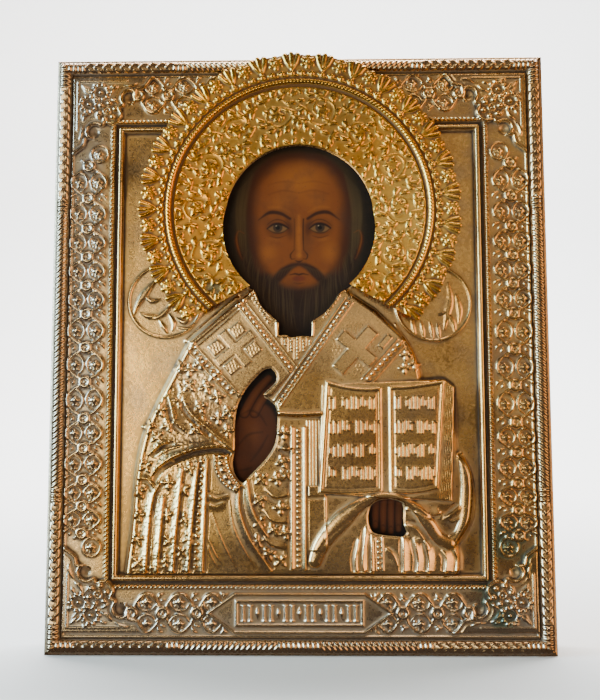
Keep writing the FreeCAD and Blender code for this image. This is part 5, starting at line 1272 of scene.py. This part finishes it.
BANDS = 4
cover_sheets = []
for band in range(BANDS):
    rows = band * COVER_CELLS[1] // BANDS, (band + 1) * COVER_CELLS[1] // BANDS
    for half, columns in halves(COVER_CELLS):
        sheet = press(f"pressed_cover_{band + 1}_{half}", cover_die, cover_depth, columns, rows)
        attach(sheet, "icon")
        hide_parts("cover")
        cover_sheets.append(sheet)
nimbus_sheets = []
for half, columns in halves(NIMBUS_CELLS):
    sheet = press(f"pressed_nimbus_{half}", nimbus_die, nimbus_depth, columns, (0, NIMBUS_CELLS[1]))
    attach(sheet, "icon")
    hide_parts("nimbus")
    nimbus_sheets.append(sheet)
print("pressed", len(cover_sheets) + len(nimbus_sheets), "sheets,",
      sum(len(sheet.data.polygons) for sheet in cover_sheets + nimbus_sheets) * 2, "triangles")


# %% [markdown]
# The rest of the cover is folded back over the panel's edges and nailed there. These skirts are bare sheet.
# They were hammered flat by hand, so they have shallow dents and never lie quite straight. Both numbers for
# the materials stay at 0 on them.

# %% Skirts
SKIRT_DEPTH, SKIRT_FRONT = 21.0, 1.0
bpy.ops.object.select_all(action="DESELECT")
bpy.ops.mesh.primitive_cube_add(size=1, location=(0, (SKIRT_DEPTH - SKIRT_FRONT) / 2 * MM, COVER_HEIGHT / 2 * MM))
skirts = bpy.context.object
skirts.name = "cover_skirts"
skirts.scale = COVER_WIDTH * MM, (SKIRT_DEPTH + SKIRT_FRONT) * MM, COVER_HEIGHT * MM
bpy.ops.object.transform_apply(location=True, rotation=True, scale=True)
edit_only("FACE", skirts.data.polygons, [abs(wall.normal.y) > 0.9 for wall in skirts.data.polygons])
bpy.ops.mesh.delete(type="ONLY_FACE")
bpy.ops.mesh.select_all(action="SELECT")
bpy.ops.mesh.subdivide(number_cuts=40)
bpy.ops.mesh.normals_make_consistent(inside=False)
bpy.ops.object.mode_set(mode="OBJECT")
for point in skirts.data.vertices:
    x, y, z = point.co / MM
    share = min(max((y + SKIRT_FRONT) / (SKIRT_DEPTH + SKIRT_FRONT), 0), 1)
    dents = 1 + math.sin(x / 9 + 2 * math.sin(z / 23)) * math.sin(z / 11 + y / 7)
    dent = 0.10 * dents * math.sin(math.pi * share)
    if abs(x) > COVER_WIDTH / 2 - 0.1:
        point.co.x -= math.copysign(dent, x) * MM
    else:
        point.co.z -= math.copysign(dent, z - COVER_HEIGHT / 2) * MM
sheet_metal = skirts.modifiers.new("sheet", "SOLIDIFY")
sheet_metal.thickness, sheet_metal.offset = SHEET * MM, -1
bpy.ops.object.modifier_apply(modifier=sheet_metal.name)
bpy.ops.object.shade_smooth_by_angle(angle=math.radians(40))
for title in ("hollow", "worn"):
    skirts.data.attributes.new(title, "FLOAT", "POINT")
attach(skirts, "icon")
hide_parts("cover")
cover_sheets.append(skirts)
print("skirts:", len(skirts.data.polygons), "faces")


# %% [markdown]
# Behind the openings lies the painting, in egg tempera on a chalk ground. Icon painters work from dark to
# light: first a dark olive tone all over, then warmer and lighter layers on the raised parts of a face, and
# last the lines. We paint in the same order on a fine grid, whose points carry the colour. The face isn't
# a copy: it is calm and general, set out on the proportions that drawing books give.

# %% The painter's tools
class Painting:
    """Colours over a rectangle of the board, laid in layers."""

    def __init__(self, low, high, cells, tone):
        self.grid = Die(low, high, cells)
        self.colour = np.empty(self.grid.x.shape + (3,))
        self.colour[:] = tone

    def glaze(self, share, colour, part=slice(None)):
        """Lays a colour over a part, as strongly as its share says."""
        self.colour[part] += np.clip(share, 0, 1)[..., None] * (np.asarray(colour) - self.colour[part])

    def wash(self, place, reach, colour, strength, turn=0.0, edge=1.0):
        """A soft oval: an edge of 1 fades from its middle, and a small one has a crisp rim."""
        dx, dz = self.grid.x - place[0], self.grid.z - place[1]
        c, s = math.cos(math.radians(turn)), math.sin(math.radians(turn))
        gap = np.hypot((dx * c + dz * s) / reach[0], (dz * c - dx * s) / reach[1])
        self.glaze(strength * ease((1 - gap) / edge), colour)

    def brush(self, points, half, colour, strength, ends=(0.3, 0.3), softness=0.35):
        """A brush line, thinner at its ends."""
        line = curve(points, 0.8)
        part = self.grid.window(line.min(0), line.max(0), half + softness + 0.5)
        gap, run, side, length = self.grid.along(part, line)
        share = run / max(length, 1e-9)
        width = half * narrowing(share, ends, 0.4)
        self.glaze(strength * ease((width + softness - gap) / (2 * softness)), colour, part)

    def fill(self, corners, colour, strength, softness):
        """A shape with a soft edge. Returns how deep each point lies in it."""
        depth = self.grid.inside(slice(None), corners)
        self.glaze(strength * ease(0.5 + depth / (2 * softness)), colour)
        return depth


def other_side(points):
    """The mirror image of a line, run the other way."""
    return [(-x, z) for x, z in reversed(points)]


DARK_TONE, HAIR_TONE, HAIR_LIGHT = (0.010, 0.006, 0.004), (0.024, 0.013, 0.005), (0.060, 0.036, 0.013)
FLESH_SHADOW, FLESH, FLESH_LIGHT = (0.036, 0.009, 0.003), (0.120, 0.031, 0.005), (0.200, 0.060, 0.008)
LINE_TONE, BEARD_TONE, LIP_TONE = (0.007, 0.003, 0.002), (0.014, 0.006, 0.004), (0.085, 0.016, 0.006)
print("tones mixed: darkest flesh", FLESH_SHADOW, "lightest flesh", FLESH_LIGHT)


# %% [markdown]
# Drawing books set a face out by halves and thirds. The eyes lie half way between crown and chin, the nose
# ends half way between brows and chin, and the mouth a third of the way from there to the chin. The hair
# comes first, then the head in its dark tone, and then the flesh that leaves a dark rim.

# %% The head
CROWN, CHIN = 224.0, 154.0
EYES = (CROWN + CHIN) / 2
BROWS, EYE_WIDTH = EYES + 4.6, 9.6
NOSE_END = (BROWS + CHIN) / 2
MOUTH = NOSE_END - (NOSE_END - CHIN) / 3

face = Painting((-35.5, 136), (36, 229.5), (286, 372), DARK_TONE)
half_head = [(0, CROWN + 1.5), (13, CROWN - 0.5), (22.5, 217), (28.0, 205), (29.5, 193), (28.6, 180), (24, 166),
             (14, 155), (0, 150)]
face.fill(outline(half_head, other_side(half_head)), HAIR_TONE, 1, 2.5)
half_face = [(0, CROWN), (11.5, CROWN - 1.8), (19.5, 215.5), (23.4, 206), (24.0, 196), (23.4, EYES - 1),
             (22.0, 178), (18.5, 167), (12.5, 158.5), (6, CHIN + 1), (0, CHIN)]
depth = face.fill(outline(half_face, other_side(half_face)), FLESH_SHADOW, 1, 1.6)
face.glaze(0.95 * ease((depth - 1.0) / 6.5), FLESH)
right_ear = [(24.9, 186.5), (27.4, 187.6), (28.4, 184), (27.2, 178.5), (25.4, 174.5), (24.6, 178)]
for line in (right_ear, [(-x, z) for x, z in right_ear]):
    face.brush(line, 1.1, FLESH_SHADOW, 0.9, softness=0.7)
    face.brush(line, 0.35, FLESH, 0.8)
for place, reach, strength in (((0, 211), (18, 13), 0.75), ((-8, 201), (10, 6), 0.35), ((8, 201), (10, 6), 0.35),
                               ((-14, 177.5), (6.5, 8), 0.5), ((14, 177.5), (6.5, 8), 0.5),
                               ((0, CHIN + 4.5), (6, 4), 0.35)):
    face.wash(place, reach, FLESH_LIGHT, strength)
print("face: eyes at", EYES, "nose to", NOSE_END, "mouth at", round(MOUTH, 1))


# %% [markdown]
# Each side gets the same features: shade round the eye, the white with its iris, pupil and glint, dark lines
# for the lids, a brow with light above it, the side of the nose with its wing, and two calm forehead lines.

# %% Eyes, brows and nose
for side in (-1, 1):
    eye = side * EYE_WIDTH
    face.wash((eye, EYES + 0.2), (8.2, 5.6), FLESH_SHADOW, 0.85)
    face.wash((side * 4.3, EYES - 0.5), (3.0, 7.5), FLESH_SHADOW, 0.8, turn=-side * 8)
    face.wash((eye, EYES + 2.9), (4.6, 1.2), FLESH, 0.55)
    face.wash((eye + side * 1.5, EYES - 5.4), (5.0, 1.5), FLESH_LIGHT, 0.35, turn=side * 12)
    white = [(eye - 4.8, EYES - 0.4), (eye - 2.4, EYES + 1.4), (eye + 0.3, EYES + 1.9), (eye + 3.0, EYES + 1.0),
             (eye + 4.8, EYES - 0.2)]
    under = [(eye + 4.8, EYES - 0.2), (eye + 2.6, EYES - 1.9), (eye, EYES - 2.4), (eye - 2.7, EYES - 1.8),
             (eye - 4.8, EYES - 0.4)]
    in_eye = face.fill(outline(white, under), (0.110, 0.050, 0.016), 0.9, 0.4)
    from_iris = face.grid.gap_from((eye, EYES + 0.1))
    face.glaze(ease((2.35 - from_iris) / 0.4) * ease(in_eye / 0.3 + 0.5), (0.026, 0.014, 0.008))
    face.glaze(ease((1.15 - from_iris) / 0.3), (0.004, 0.003, 0.003))
    face.wash((eye - 0.7, EYES + 0.9), (0.5, 0.4), (0.34, 0.24, 0.14), 0.9)
    face.brush(white, 0.55, LINE_TONE, 0.95, ends=(0.5, 0.7))
    face.brush(under, 0.32, LINE_TONE, 0.75)
    face.brush([(x, z + 1.9) for x, z in white[:-1]] + [(eye + side * 0.2 + 5.2, EYES + 0.9)], 0.26, LINE_TONE, 0.6)
    face.brush([(eye - 3.6, EYES - 3.7), (eye, EYES - 4.6), (eye + 3.8, EYES - 3.5)], 0.26, FLESH_SHADOW, 0.8)
    face.brush([(side * 4.0, BROWS - 0.4), (side * 8.5, BROWS + 2.1), (side * 13.5, BROWS + 2.4),
                (side * 18.4, BROWS - 0.9)], 0.85, LINE_TONE, 0.85, ends=(0.7, 0.15), softness=0.5)
    face.brush([(side * 4.2, BROWS + 2.6), (side * 9, BROWS + 4.9), (side * 14, BROWS + 4.8)], 0.6,
               FLESH_LIGHT, 0.35, softness=0.8)
    face.brush([(side * 2.1, BROWS - 0.6), (side * 1.9, EYES - 2), (side * 2.1, NOSE_END + 5)], 0.34,
               LINE_TONE, 0.8 if side > 0 else 0.45, ends=(1, 0.5))
    face.brush([(side * 2.1, NOSE_END + 5), (side * 3.9, NOSE_END + 2.6), (side * 3.3, NOSE_END + 0.7),
                (side * 1.9, NOSE_END + 0.9)], 0.34, LINE_TONE, 0.75)
    for height, lift, strength in ((BROWS + 11.5, 1.2, 0.30), (BROWS + 16.0, 0.9, 0.22)):
        face.brush([(0, height), (side * 7, height + lift), (side * 14, height - 0.6)], 0.4,
                   FLESH_SHADOW, strength, softness=0.6)
face.brush([(0, BROWS + 1), (0, EYES), (0.1, NOSE_END + 2.6)], 1.1, FLESH_LIGHT, 0.6, ends=(0.5, 1), softness=1.0)
face.wash((0, NOSE_END + 2.4), (2.2, 2.0), FLESH_LIGHT, 0.6)
face.brush([(-1.7, NOSE_END + 0.2), (0, NOSE_END - 0.5), (1.7, NOSE_END + 0.2)], 0.4, LINE_TONE, 0.8)
print("an eye is", 2 * 4.8, "mm wide, and the pupils are", 2 * EYE_WIDTH, "mm apart")


# %% [markdown]
# The beard is one dark shape with a soft edge, and the moustache lies over it. The hairs are single thin
# strokes, each with a small sway of its own. A last dark glaze lets the chest sink behind the collar.

# %% Beard, mouth and hair
beard_top = [(25.0, 184), (22.6, 175), (18.8, 168.5), (13.2, MOUTH + 0.5), (6.8, MOUTH - 4.5), (0, MOUTH - 5.6)]
beard_end = [(0, 139.5), (9.5, 144.5), (17.5, 153), (23, 163), (26.0, 175), (25.0, 184)]
beard = outline(beard_top, other_side(beard_top), other_side(beard_end), beard_end)
face.fill(beard, BEARD_TONE, 0.96, 2.2)
for side in (-1, 1):
    face.brush([(side * 0.7, NOSE_END - 1.6), (side * 4.2, NOSE_END - 3.0), (side * 9.0, MOUTH - 0.6),
                (side * 13.5, MOUTH - 6.5)], 2.1, BEARD_TONE, 0.92, ends=(0.4, 0.5), softness=0.9)
face.wash((0, MOUTH - 1.6), (3.9, 1.7), LIP_TONE, 0.95, edge=0.5)
face.brush([(-4.3, MOUTH + 0.1), (-1.7, MOUTH + 0.6), (0, MOUTH + 0.2), (1.7, MOUTH + 0.6), (4.3, MOUTH + 0.1)],
           0.42, LINE_TONE, 0.9)
face.brush([(-2.4, MOUTH - 3.5), (0, MOUTH - 3.9), (2.4, MOUTH - 3.5)], 0.45, FLESH_SHADOW, 0.6)
hand_of_painter = np.random.default_rng(11)
BEARD_HAIRS, HEAD_HAIRS, LIP_HAIRS = 34, 26, 9
for side in (-1, 1):
    for number in range(BEARD_HAIRS):
        share = number / (BEARD_HAIRS - 1)
        root = side * (2.5 + 20.5 * share), MOUTH - 5.2 + 17.5 * share ** 1.7
        tip = side * (1.0 + 23.5 * share), 141.0 + 28.0 * share ** 1.6
        sway = hand_of_painter.uniform(-1.4, 1.4)
        middle = (root[0] + tip[0]) / 2 + sway, (root[1] + tip[1]) / 2
        face.brush([root, middle, tip], 0.2, HAIR_LIGHT, hand_of_painter.uniform(0.15, 0.5), softness=0.25)
    for number in range(HEAD_HAIRS):
        share = number / (HEAD_HAIRS - 1)
        top = side * (20.6 + 7.4 * share), 214.5 - 8.5 * share
        middle = side * (23.9 + 5.0 * share), 196.0
        bottom = side * (23.2 + 4.6 * share + hand_of_painter.uniform(-0.6, 0.6)), 172.0 + 10 * share
        face.brush([top, middle, bottom], 0.2, HAIR_LIGHT, hand_of_painter.uniform(0.15, 0.45), softness=0.25)
    for number in range(LIP_HAIRS):
        start = side * (1.2 + 1.3 * number), NOSE_END - 1.9 - 0.42 * number
        face.brush([start, (start[0] + side * 2.2, start[1] - 1.6), (start[0] + side * 3.2, start[1] - 4.2)], 0.18,
                   HAIR_LIGHT, 0.3, softness=0.25)
chest = outline([(-35.5, 163), (-22, 156), (-10, 146), (0, 143), (10, 146), (22, 156), (36, 163)],
                [(36, 163), (36, 136)], [(36, 136), (-35.5, 136)], [(-35.5, 136), (-35.5, 163)])
face.fill(chest, (0.008, 0.004, 0.004), 0.7, 3)
print("hairs painted:", 2 * (BEARD_HAIRS + HEAD_HAIRS + LIP_HAIRS))


# %% [markdown]
# The right hand is raised to bless, with two fingers up, and the thumb meets the bent ring finger. Only the
# finger tips of the left hand show, under the book. Both are darker than the face.

# %% The hands
HAND_SHADOW, HAND, HAND_LIGHT = (0.011, 0.004, 0.002), (0.060, 0.015, 0.0045), (0.100, 0.028, 0.007)
raised_hand = Painting((-31.5, 71.5), (-7, 127.5), (98, 224), (0.009, 0.006, 0.006))


def finger(picture, points, half):
    """A finger with a dark outline and a lighter middle."""
    picture.brush(points, half + 0.45, HAND_SHADOW, 0.95, ends=(1, 0.75))
    picture.brush(points, half, HAND, 1.0, ends=(1, 0.75), softness=0.5)
    picture.brush(points, half * 0.45, HAND_LIGHT, 0.7, ends=(1, 0.5), softness=0.8)


palm = outline([(-27.5, 75.5), (-30.0, 84), (-30.2, 96), (-28.0, 104), (-23.5, 109.0), (-17, 110.5),
                (-11.5, 107.5), (-9.0, 101), (-9.2, 94), (-12.5, 85), (-18.5, 78), (-23.5, 73.5), (-27.5, 75.5)])
deep = raised_hand.fill(palm, HAND_SHADOW, 1, 0.8)
raised_hand.glaze(0.95 * ease((deep - 0.3) / 2.0), HAND)
raised_hand.wash((-21, 97), (5.5, 9), HAND_LIGHT, 0.7, turn=12)
finger(raised_hand, [(-24.5, 105), (-21.0, 111.5), (-17.0, 117.0), (-13.6, 120.5)], 1.9)
finger(raised_hand, [(-20.0, 105), (-17.0, 110.5), (-13.8, 114.8), (-11.0, 117.4)], 1.8)
for crease in ([(-25.5, 104.6), (-21.5, 106.2), (-17.5, 104.0), (-14.6, 99.6)],
               [(-27.0, 91.0), (-22.5, 95.4), (-16.4, 96.6)], [(-14.0, 95.0), (-17.6, 88.6), (-21.6, 83.6)],
               [(-26.6, 79.6), (-23.6, 80.0), (-21.0, 81.0)]):
    raised_hand.brush(crease, 0.45, HAND_SHADOW, 0.65, softness=0.8)

book_hand = Painting((27.5, 48.5), (49.5, 70), (88, 86), (0.008, 0.005, 0.005))
for place, low in ((33.4, 55.4), (36.8, 53.6), (40.2, 53.0), (43.5, 53.8)):
    finger(book_hand, [(place + 0.6, 68.5), (place + 0.2, 62.0), (place, low)], 1.5)
    book_hand.brush([(place - 0.7, low + 1.6), (place, low + 2.2), (place + 0.7, low + 1.6)], 0.22, HAND_SHADOW, 0.6)
print("hands: grids of", raised_hand.grid.x.size, "and", book_hand.grid.x.size, "points")


# %% [markdown]
# Each painting becomes a flat grid just in front of the chalk ground. Every point of the grid takes the
# colour that was painted there.

# %% The painted patches
PAINT_FRONT = 0.06
paintings = []
for name, picture in (("painted_face", face), ("painted_raised_hand", raised_hand), ("painted_book_hand", book_hand)):
    patch, spots = grid_sheet(name, picture.grid.low, picture.grid.high, picture.grid.cells, PAINT_FRONT)
    colours = picture.colour[picture.grid.lines_at(spots)]
    tones = np.concatenate([colours, np.ones((len(colours), 1))], 1).astype(np.float32)
    patch.data.color_attributes.new("tempera", "FLOAT_COLOR", "POINT").data.foreach_set("color", tones.ravel())
    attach(patch, "icon")
    paintings.append(patch)
    print(name, len(patch.data.polygons) * 2, "triangles")


# %% [markdown]
# The cover is gilt brass that has darkened. High places are rubbed bright, hollows hold brown dirt and painted
# shade, and the gilding is thin enough for copper tones to come through in clouds. The nimbus has kept more of
# its gold. The left and bottom bands are greyer, with tarnish and a painted cool reflection of the window. Some
# places take a paler tone and some a deeper one, the top of the nimbus is darkened as painted shade, the outer
# rope is browned, and a few hollows hold verdigris or soot. Each such place is a point on the sheet, and its tone
# fades with the distance from it.

# %% Gilt brass
def gilt(name, bright, dull, bloom, dirt_and_shade_tone, dirt_and_shade_share, roughness, wear_and_sheen, tones, stains):
    """Gilding between a bright and a dull tone, with a bloom in clouds, dirt and painted shade in its hollows, and
    spots.
    """
    finish = Finish(name, Metallic=1.0)

    def near(side, height, reach):
        """1 at a place on the sheet, fading to 0 at a distance from it."""
        away = finish.add("ShaderNodeVectorMath", {"operation": "DISTANCE"},
                          {0: finish.place, 1: (side * MM, -4 * MM, height * MM)}).outputs["Value"]
        return (1 - Number(finish, away) / (reach * MM)).held() ** 0.7

    hollow, worn = finish.reading("hollow"), finish.reading("worn")
    clouds, grain = finish.noise(26, 4), finish.noise(1.6, 4, sharpness=0.6)
    tarnish = (clouds * 1.3 - 0.25 + (grain - 0.5) * 0.5 - worn * 0.3).held()
    metal = finish.blend(tarnish, bright, dull)
    metal = finish.blend((finish.noise(15, 4).between(0.42, 0.68) * (0.8 - worn * 0.5)).held(), metal, bloom)
    apart = finish.add("ShaderNodeSeparateXYZ", {}, {0: finish.place}).outputs
    across, up = Number(finish, apart["X"]) / MM, Number(finish, apart["Z"]) / MM
    # The left and bottom bands turn greyer: a grey tarnish, and a painted cool reflection of the window light on that
    # side.
    left_and_foot = 1 - across.between(-94, -84) * up.between(14, 44)
    metal = finish.blend((left_and_foot * wear_and_sheen * (0.9 + clouds * 0.6)).held(), metal, GREY_TARNISH_AND_COOL_SHEEN)
    off_middle = up - COVER_HEIGHT / 2
    rim = (across * across).between(103.6 ** 2, 105.6 ** 2) + (off_middle * off_middle).between(126.0 ** 2, 128.0 ** 2)
    metal = finish.blend((rim * wear_and_sheen).held(), metal, BROWNED)
    for *spot, colour in tones:
        metal = finish.blend(near(*spot) ** 0.7 * 0.75, metal, colour)
    for *spot, colour in stains:
        soiled = near(*spot) * (hollow * 1.4 + clouds * 1.2 + grain - 0.75)
        metal = finish.blend(soiled.between(0.16, 0.62) * 0.7, metal, colour)
    # Hollows take the dark tone: brown dirt, and painted shade in the recesses as well.
    dirt_and_shade = (hollow * dirt_and_shade_share + (grain - 0.5) * 0.35 - 0.04).held()
    finish.coat(Base_Color=finish.blend(dirt_and_shade, metal, dirt_and_shade_tone), Metallic=1 - dirt_and_shade * 0.75,
                Roughness=(roughness + dirt_and_shade * 0.35 + (grain - 0.5) * 0.22 - worn * 0.06).held())
    finish.bump(grain + finish.noise(0.5, 2) * 0.5, 0.05)
    return finish.material


# The grey tone is for the left and bottom bands: tarnish, and a painted cool reflection of the window light.
GREY_TARNISH_AND_COOL_SHEEN, PALE_GOLD = (0.47, 0.40, 0.33), (0.92, 0.62, 0.32)
VERDIGRIS, BLACKENED = (0.025, 0.13, 0.10), (0.03, 0.015, 0.008)
BROWNED = (0.42, 0.28, 0.17)
# Tones at places on the cover: paler gold on the stoles and under the book, a warmer tone on the left of the robe and a
# deeper one on its front.
COVER_TONES = (
    (-32, 138, 34, PALE_GOLD), (34, 54, 30, PALE_GOLD), (26, 138, 24, PALE_GOLD),
    (52, 36, 16, PALE_GOLD), (-73, 62, 40, (0.62, 0.36, 0.12)), (22, 94, 22, (0.50, 0.27, 0.10)))
COVER_STAINS = (
    (90, 48, 16, VERDIGRIS), (80, 27, 9, VERDIGRIS), (88, 16, 8, VERDIGRIS), (101, 38, 7, VERDIGRIS),
    (-43, 156, 8, VERDIGRIS), (78.5, 103, 16, BLACKENED), (-78.5, 214, 15, BLACKENED),
    (60, 148, 5, BLACKENED), (66, 128, 14, BLACKENED))
# The last nimbus tone darkens the top of the nimbus: it is painted shade.
NIMBUS_TONES = ((54, 192, 34, (0.95, 0.60, 0.15)), (-54, 196, 32, (0.72, 0.29, 0.03)), (4, 256, 40, (0.42, 0.26, 0.07)))
NIMBUS_STAINS = ((21, 257.5, 7, BLACKENED), (-38, 160, 6, VERDIGRIS))
COVER_BRASS = gilt(
    "gilt_brass", bright=(0.74, 0.48, 0.195), dull=(0.42, 0.20, 0.07), bloom=(0.40, 0.27, 0.165),
    dirt_and_shade_tone=(0.046, 0.023, 0.011), dirt_and_shade_share=1.05, roughness=0.27, wear_and_sheen=0.62, tones=COVER_TONES, stains=COVER_STAINS)
NIMBUS_GOLD = gilt(
    "bright_gilt", bright=(0.80, 0.43, 0.065), dull=(0.60, 0.23, 0.025), bloom=(0.50, 0.26, 0.05),
    dirt_and_shade_tone=(0.12, 0.048, 0.008), dirt_and_shade_share=2.5, roughness=0.29, wear_and_sheen=0.0, tones=NIMBUS_TONES, stains=NIMBUS_STAINS)
for sheet in cover_sheets:
    sheet.data.materials.append(COVER_BRASS)
for sheet in nimbus_sheets:
    sheet.data.materials.append(NIMBUS_GOLD)
print("nodes in the cover's finish:", len(COVER_BRASS.node_tree.nodes))


# %% [markdown]
# The painting has darkened under old varnish, which is glossy, finely cracked and dusty in places.

# %% Tempera and varnish
tempera = Finish("tempera")
paint = tempera.add("ShaderNodeAttribute", {"attribute_name": "tempera"}).outputs["Color"]
specks, grime = tempera.noise(0.9, 3, sharpness=0.7), tempera.noise(9, 3)
darker = tempera.blend((specks.between(0.60, 0.72) * 0.55).held(), paint, (0.05, 0.016, 0.008))
darker = tempera.blend((grime.between(0.45, 0.75) * 0.35).held(), darker, (0.03, 0.014, 0.008))
cracks = Number(tempera, tempera.add("ShaderNodeTexVoronoi", {"feature": "DISTANCE_TO_EDGE"}, {
    "Vector": tempera.place, "Scale": 1 / (1.6 * MM)}).outputs["Distance"])
tempera.coat(Base_Color=darker, Roughness=(grime * 0.25 + 0.45).held(), Coat_Weight=0.07, Coat_Roughness=0.25,
             Specular_IOR_Level=0.15)
tempera.bump(cracks.between(0, 0.05) + specks * 0.4, 0.02)
for patch in paintings:
    patch.data.materials.append(tempera.material)
print("tempera on", len(paintings), "patches")


# %% [markdown]
# The panel is old limewood, brown with age and handling, with fine upright grain. The battens are cut across,
# from a harder wood. The nails are yellow brass, and the hanging ring and its staple are forged black iron.

# %% Wood, iron, brass and chalk
def wood(name, light, dark, stretch):
    """Wood between two tones. The stretch is small along its grain."""
    finish = Finish(name, Roughness=0.62)
    grain, streaks = finish.noise(5.0, 6, stretch, 0.6), finish.noise(1.1, 4, stretch, 0.65)
    stains = finish.noise(42, 3)
    tone = finish.blend((grain * 1.5 - 0.3 + (streaks - 0.5) * 0.5).held(), light, dark)
    tone = finish.blend((stains.between(0.5, 0.75) * 0.5).held(), tone, (0.06, 0.035, 0.018))
    finish.coat(Base_Color=tone, Roughness=(0.55 + streaks * 0.25).held())
    finish.bump(streaks + grain * 0.5, 0.12)
    return finish.material


LIMEWOOD = wood("old_limewood", (0.20, 0.105, 0.044), (0.08, 0.038, 0.016), (1, 1, 0.06))
BATTEN_WOOD = wood("batten_wood", (0.14, 0.07, 0.03), (0.055, 0.027, 0.013), (0.06, 1, 1))
iron = Finish("forged_iron", Metallic=1.0)
scale_marks, rust = iron.noise(1.4, 5, sharpness=0.65), iron.noise(4, 4)
iron.coat(Base_Color=iron.blend(rust.between(0.5, 0.68), (0.06, 0.055, 0.05), (0.11, 0.042, 0.018)),
          Metallic=1 - rust.between(0.5, 0.7) * 0.8, Roughness=(0.4 + scale_marks * 0.4).held())
iron.bump(scale_marks, 0.08)
nail_brass = Finish("nail_brass", Metallic=1.0)
tarnish = nail_brass.noise(1.8, 4, sharpness=0.6)
nail_brass.coat(Base_Color=nail_brass.blend(tarnish.between(0.4, 0.68), (0.78, 0.53, 0.20), (0.20, 0.11, 0.045)),
                Roughness=(0.24 + tarnish * 0.35).held())
chalk = Finish("chalk_ground", Roughness=0.8)
soot = chalk.noise(14, 4)
chalk.coat(Base_Color=chalk.blend(soot.between(0.35, 0.7), (0.045, 0.028, 0.018), (0.02, 0.013, 0.009)),
           Roughness=(0.55 + soot * 0.3).held())
NODE_FINISHES = {"painted_ground": chalk.material, "panel_board": LIMEWOOD, "upper_batten": BATTEN_WOOD,
                 "lower_batten": BATTEN_WOOD, "ring_staple": iron.material, "hanging_ring": iron.material}
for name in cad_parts:
    solid = bpy.data.objects[name]
    solid.data.materials.clear()
    solid.data.materials.append(NODE_FINISHES.get(name, nail_brass.material))
print("finishes on", len(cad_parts), "solids")


# %% [markdown]
# The floor is plain and pale.

# %% Last lines
PLAIN_FLOOR = Finish("pale_floor", Base_Color=(0.92, 0.915, 0.905), Roughness=0.7).material
floor.data.materials.append(PLAIN_FLOOR)
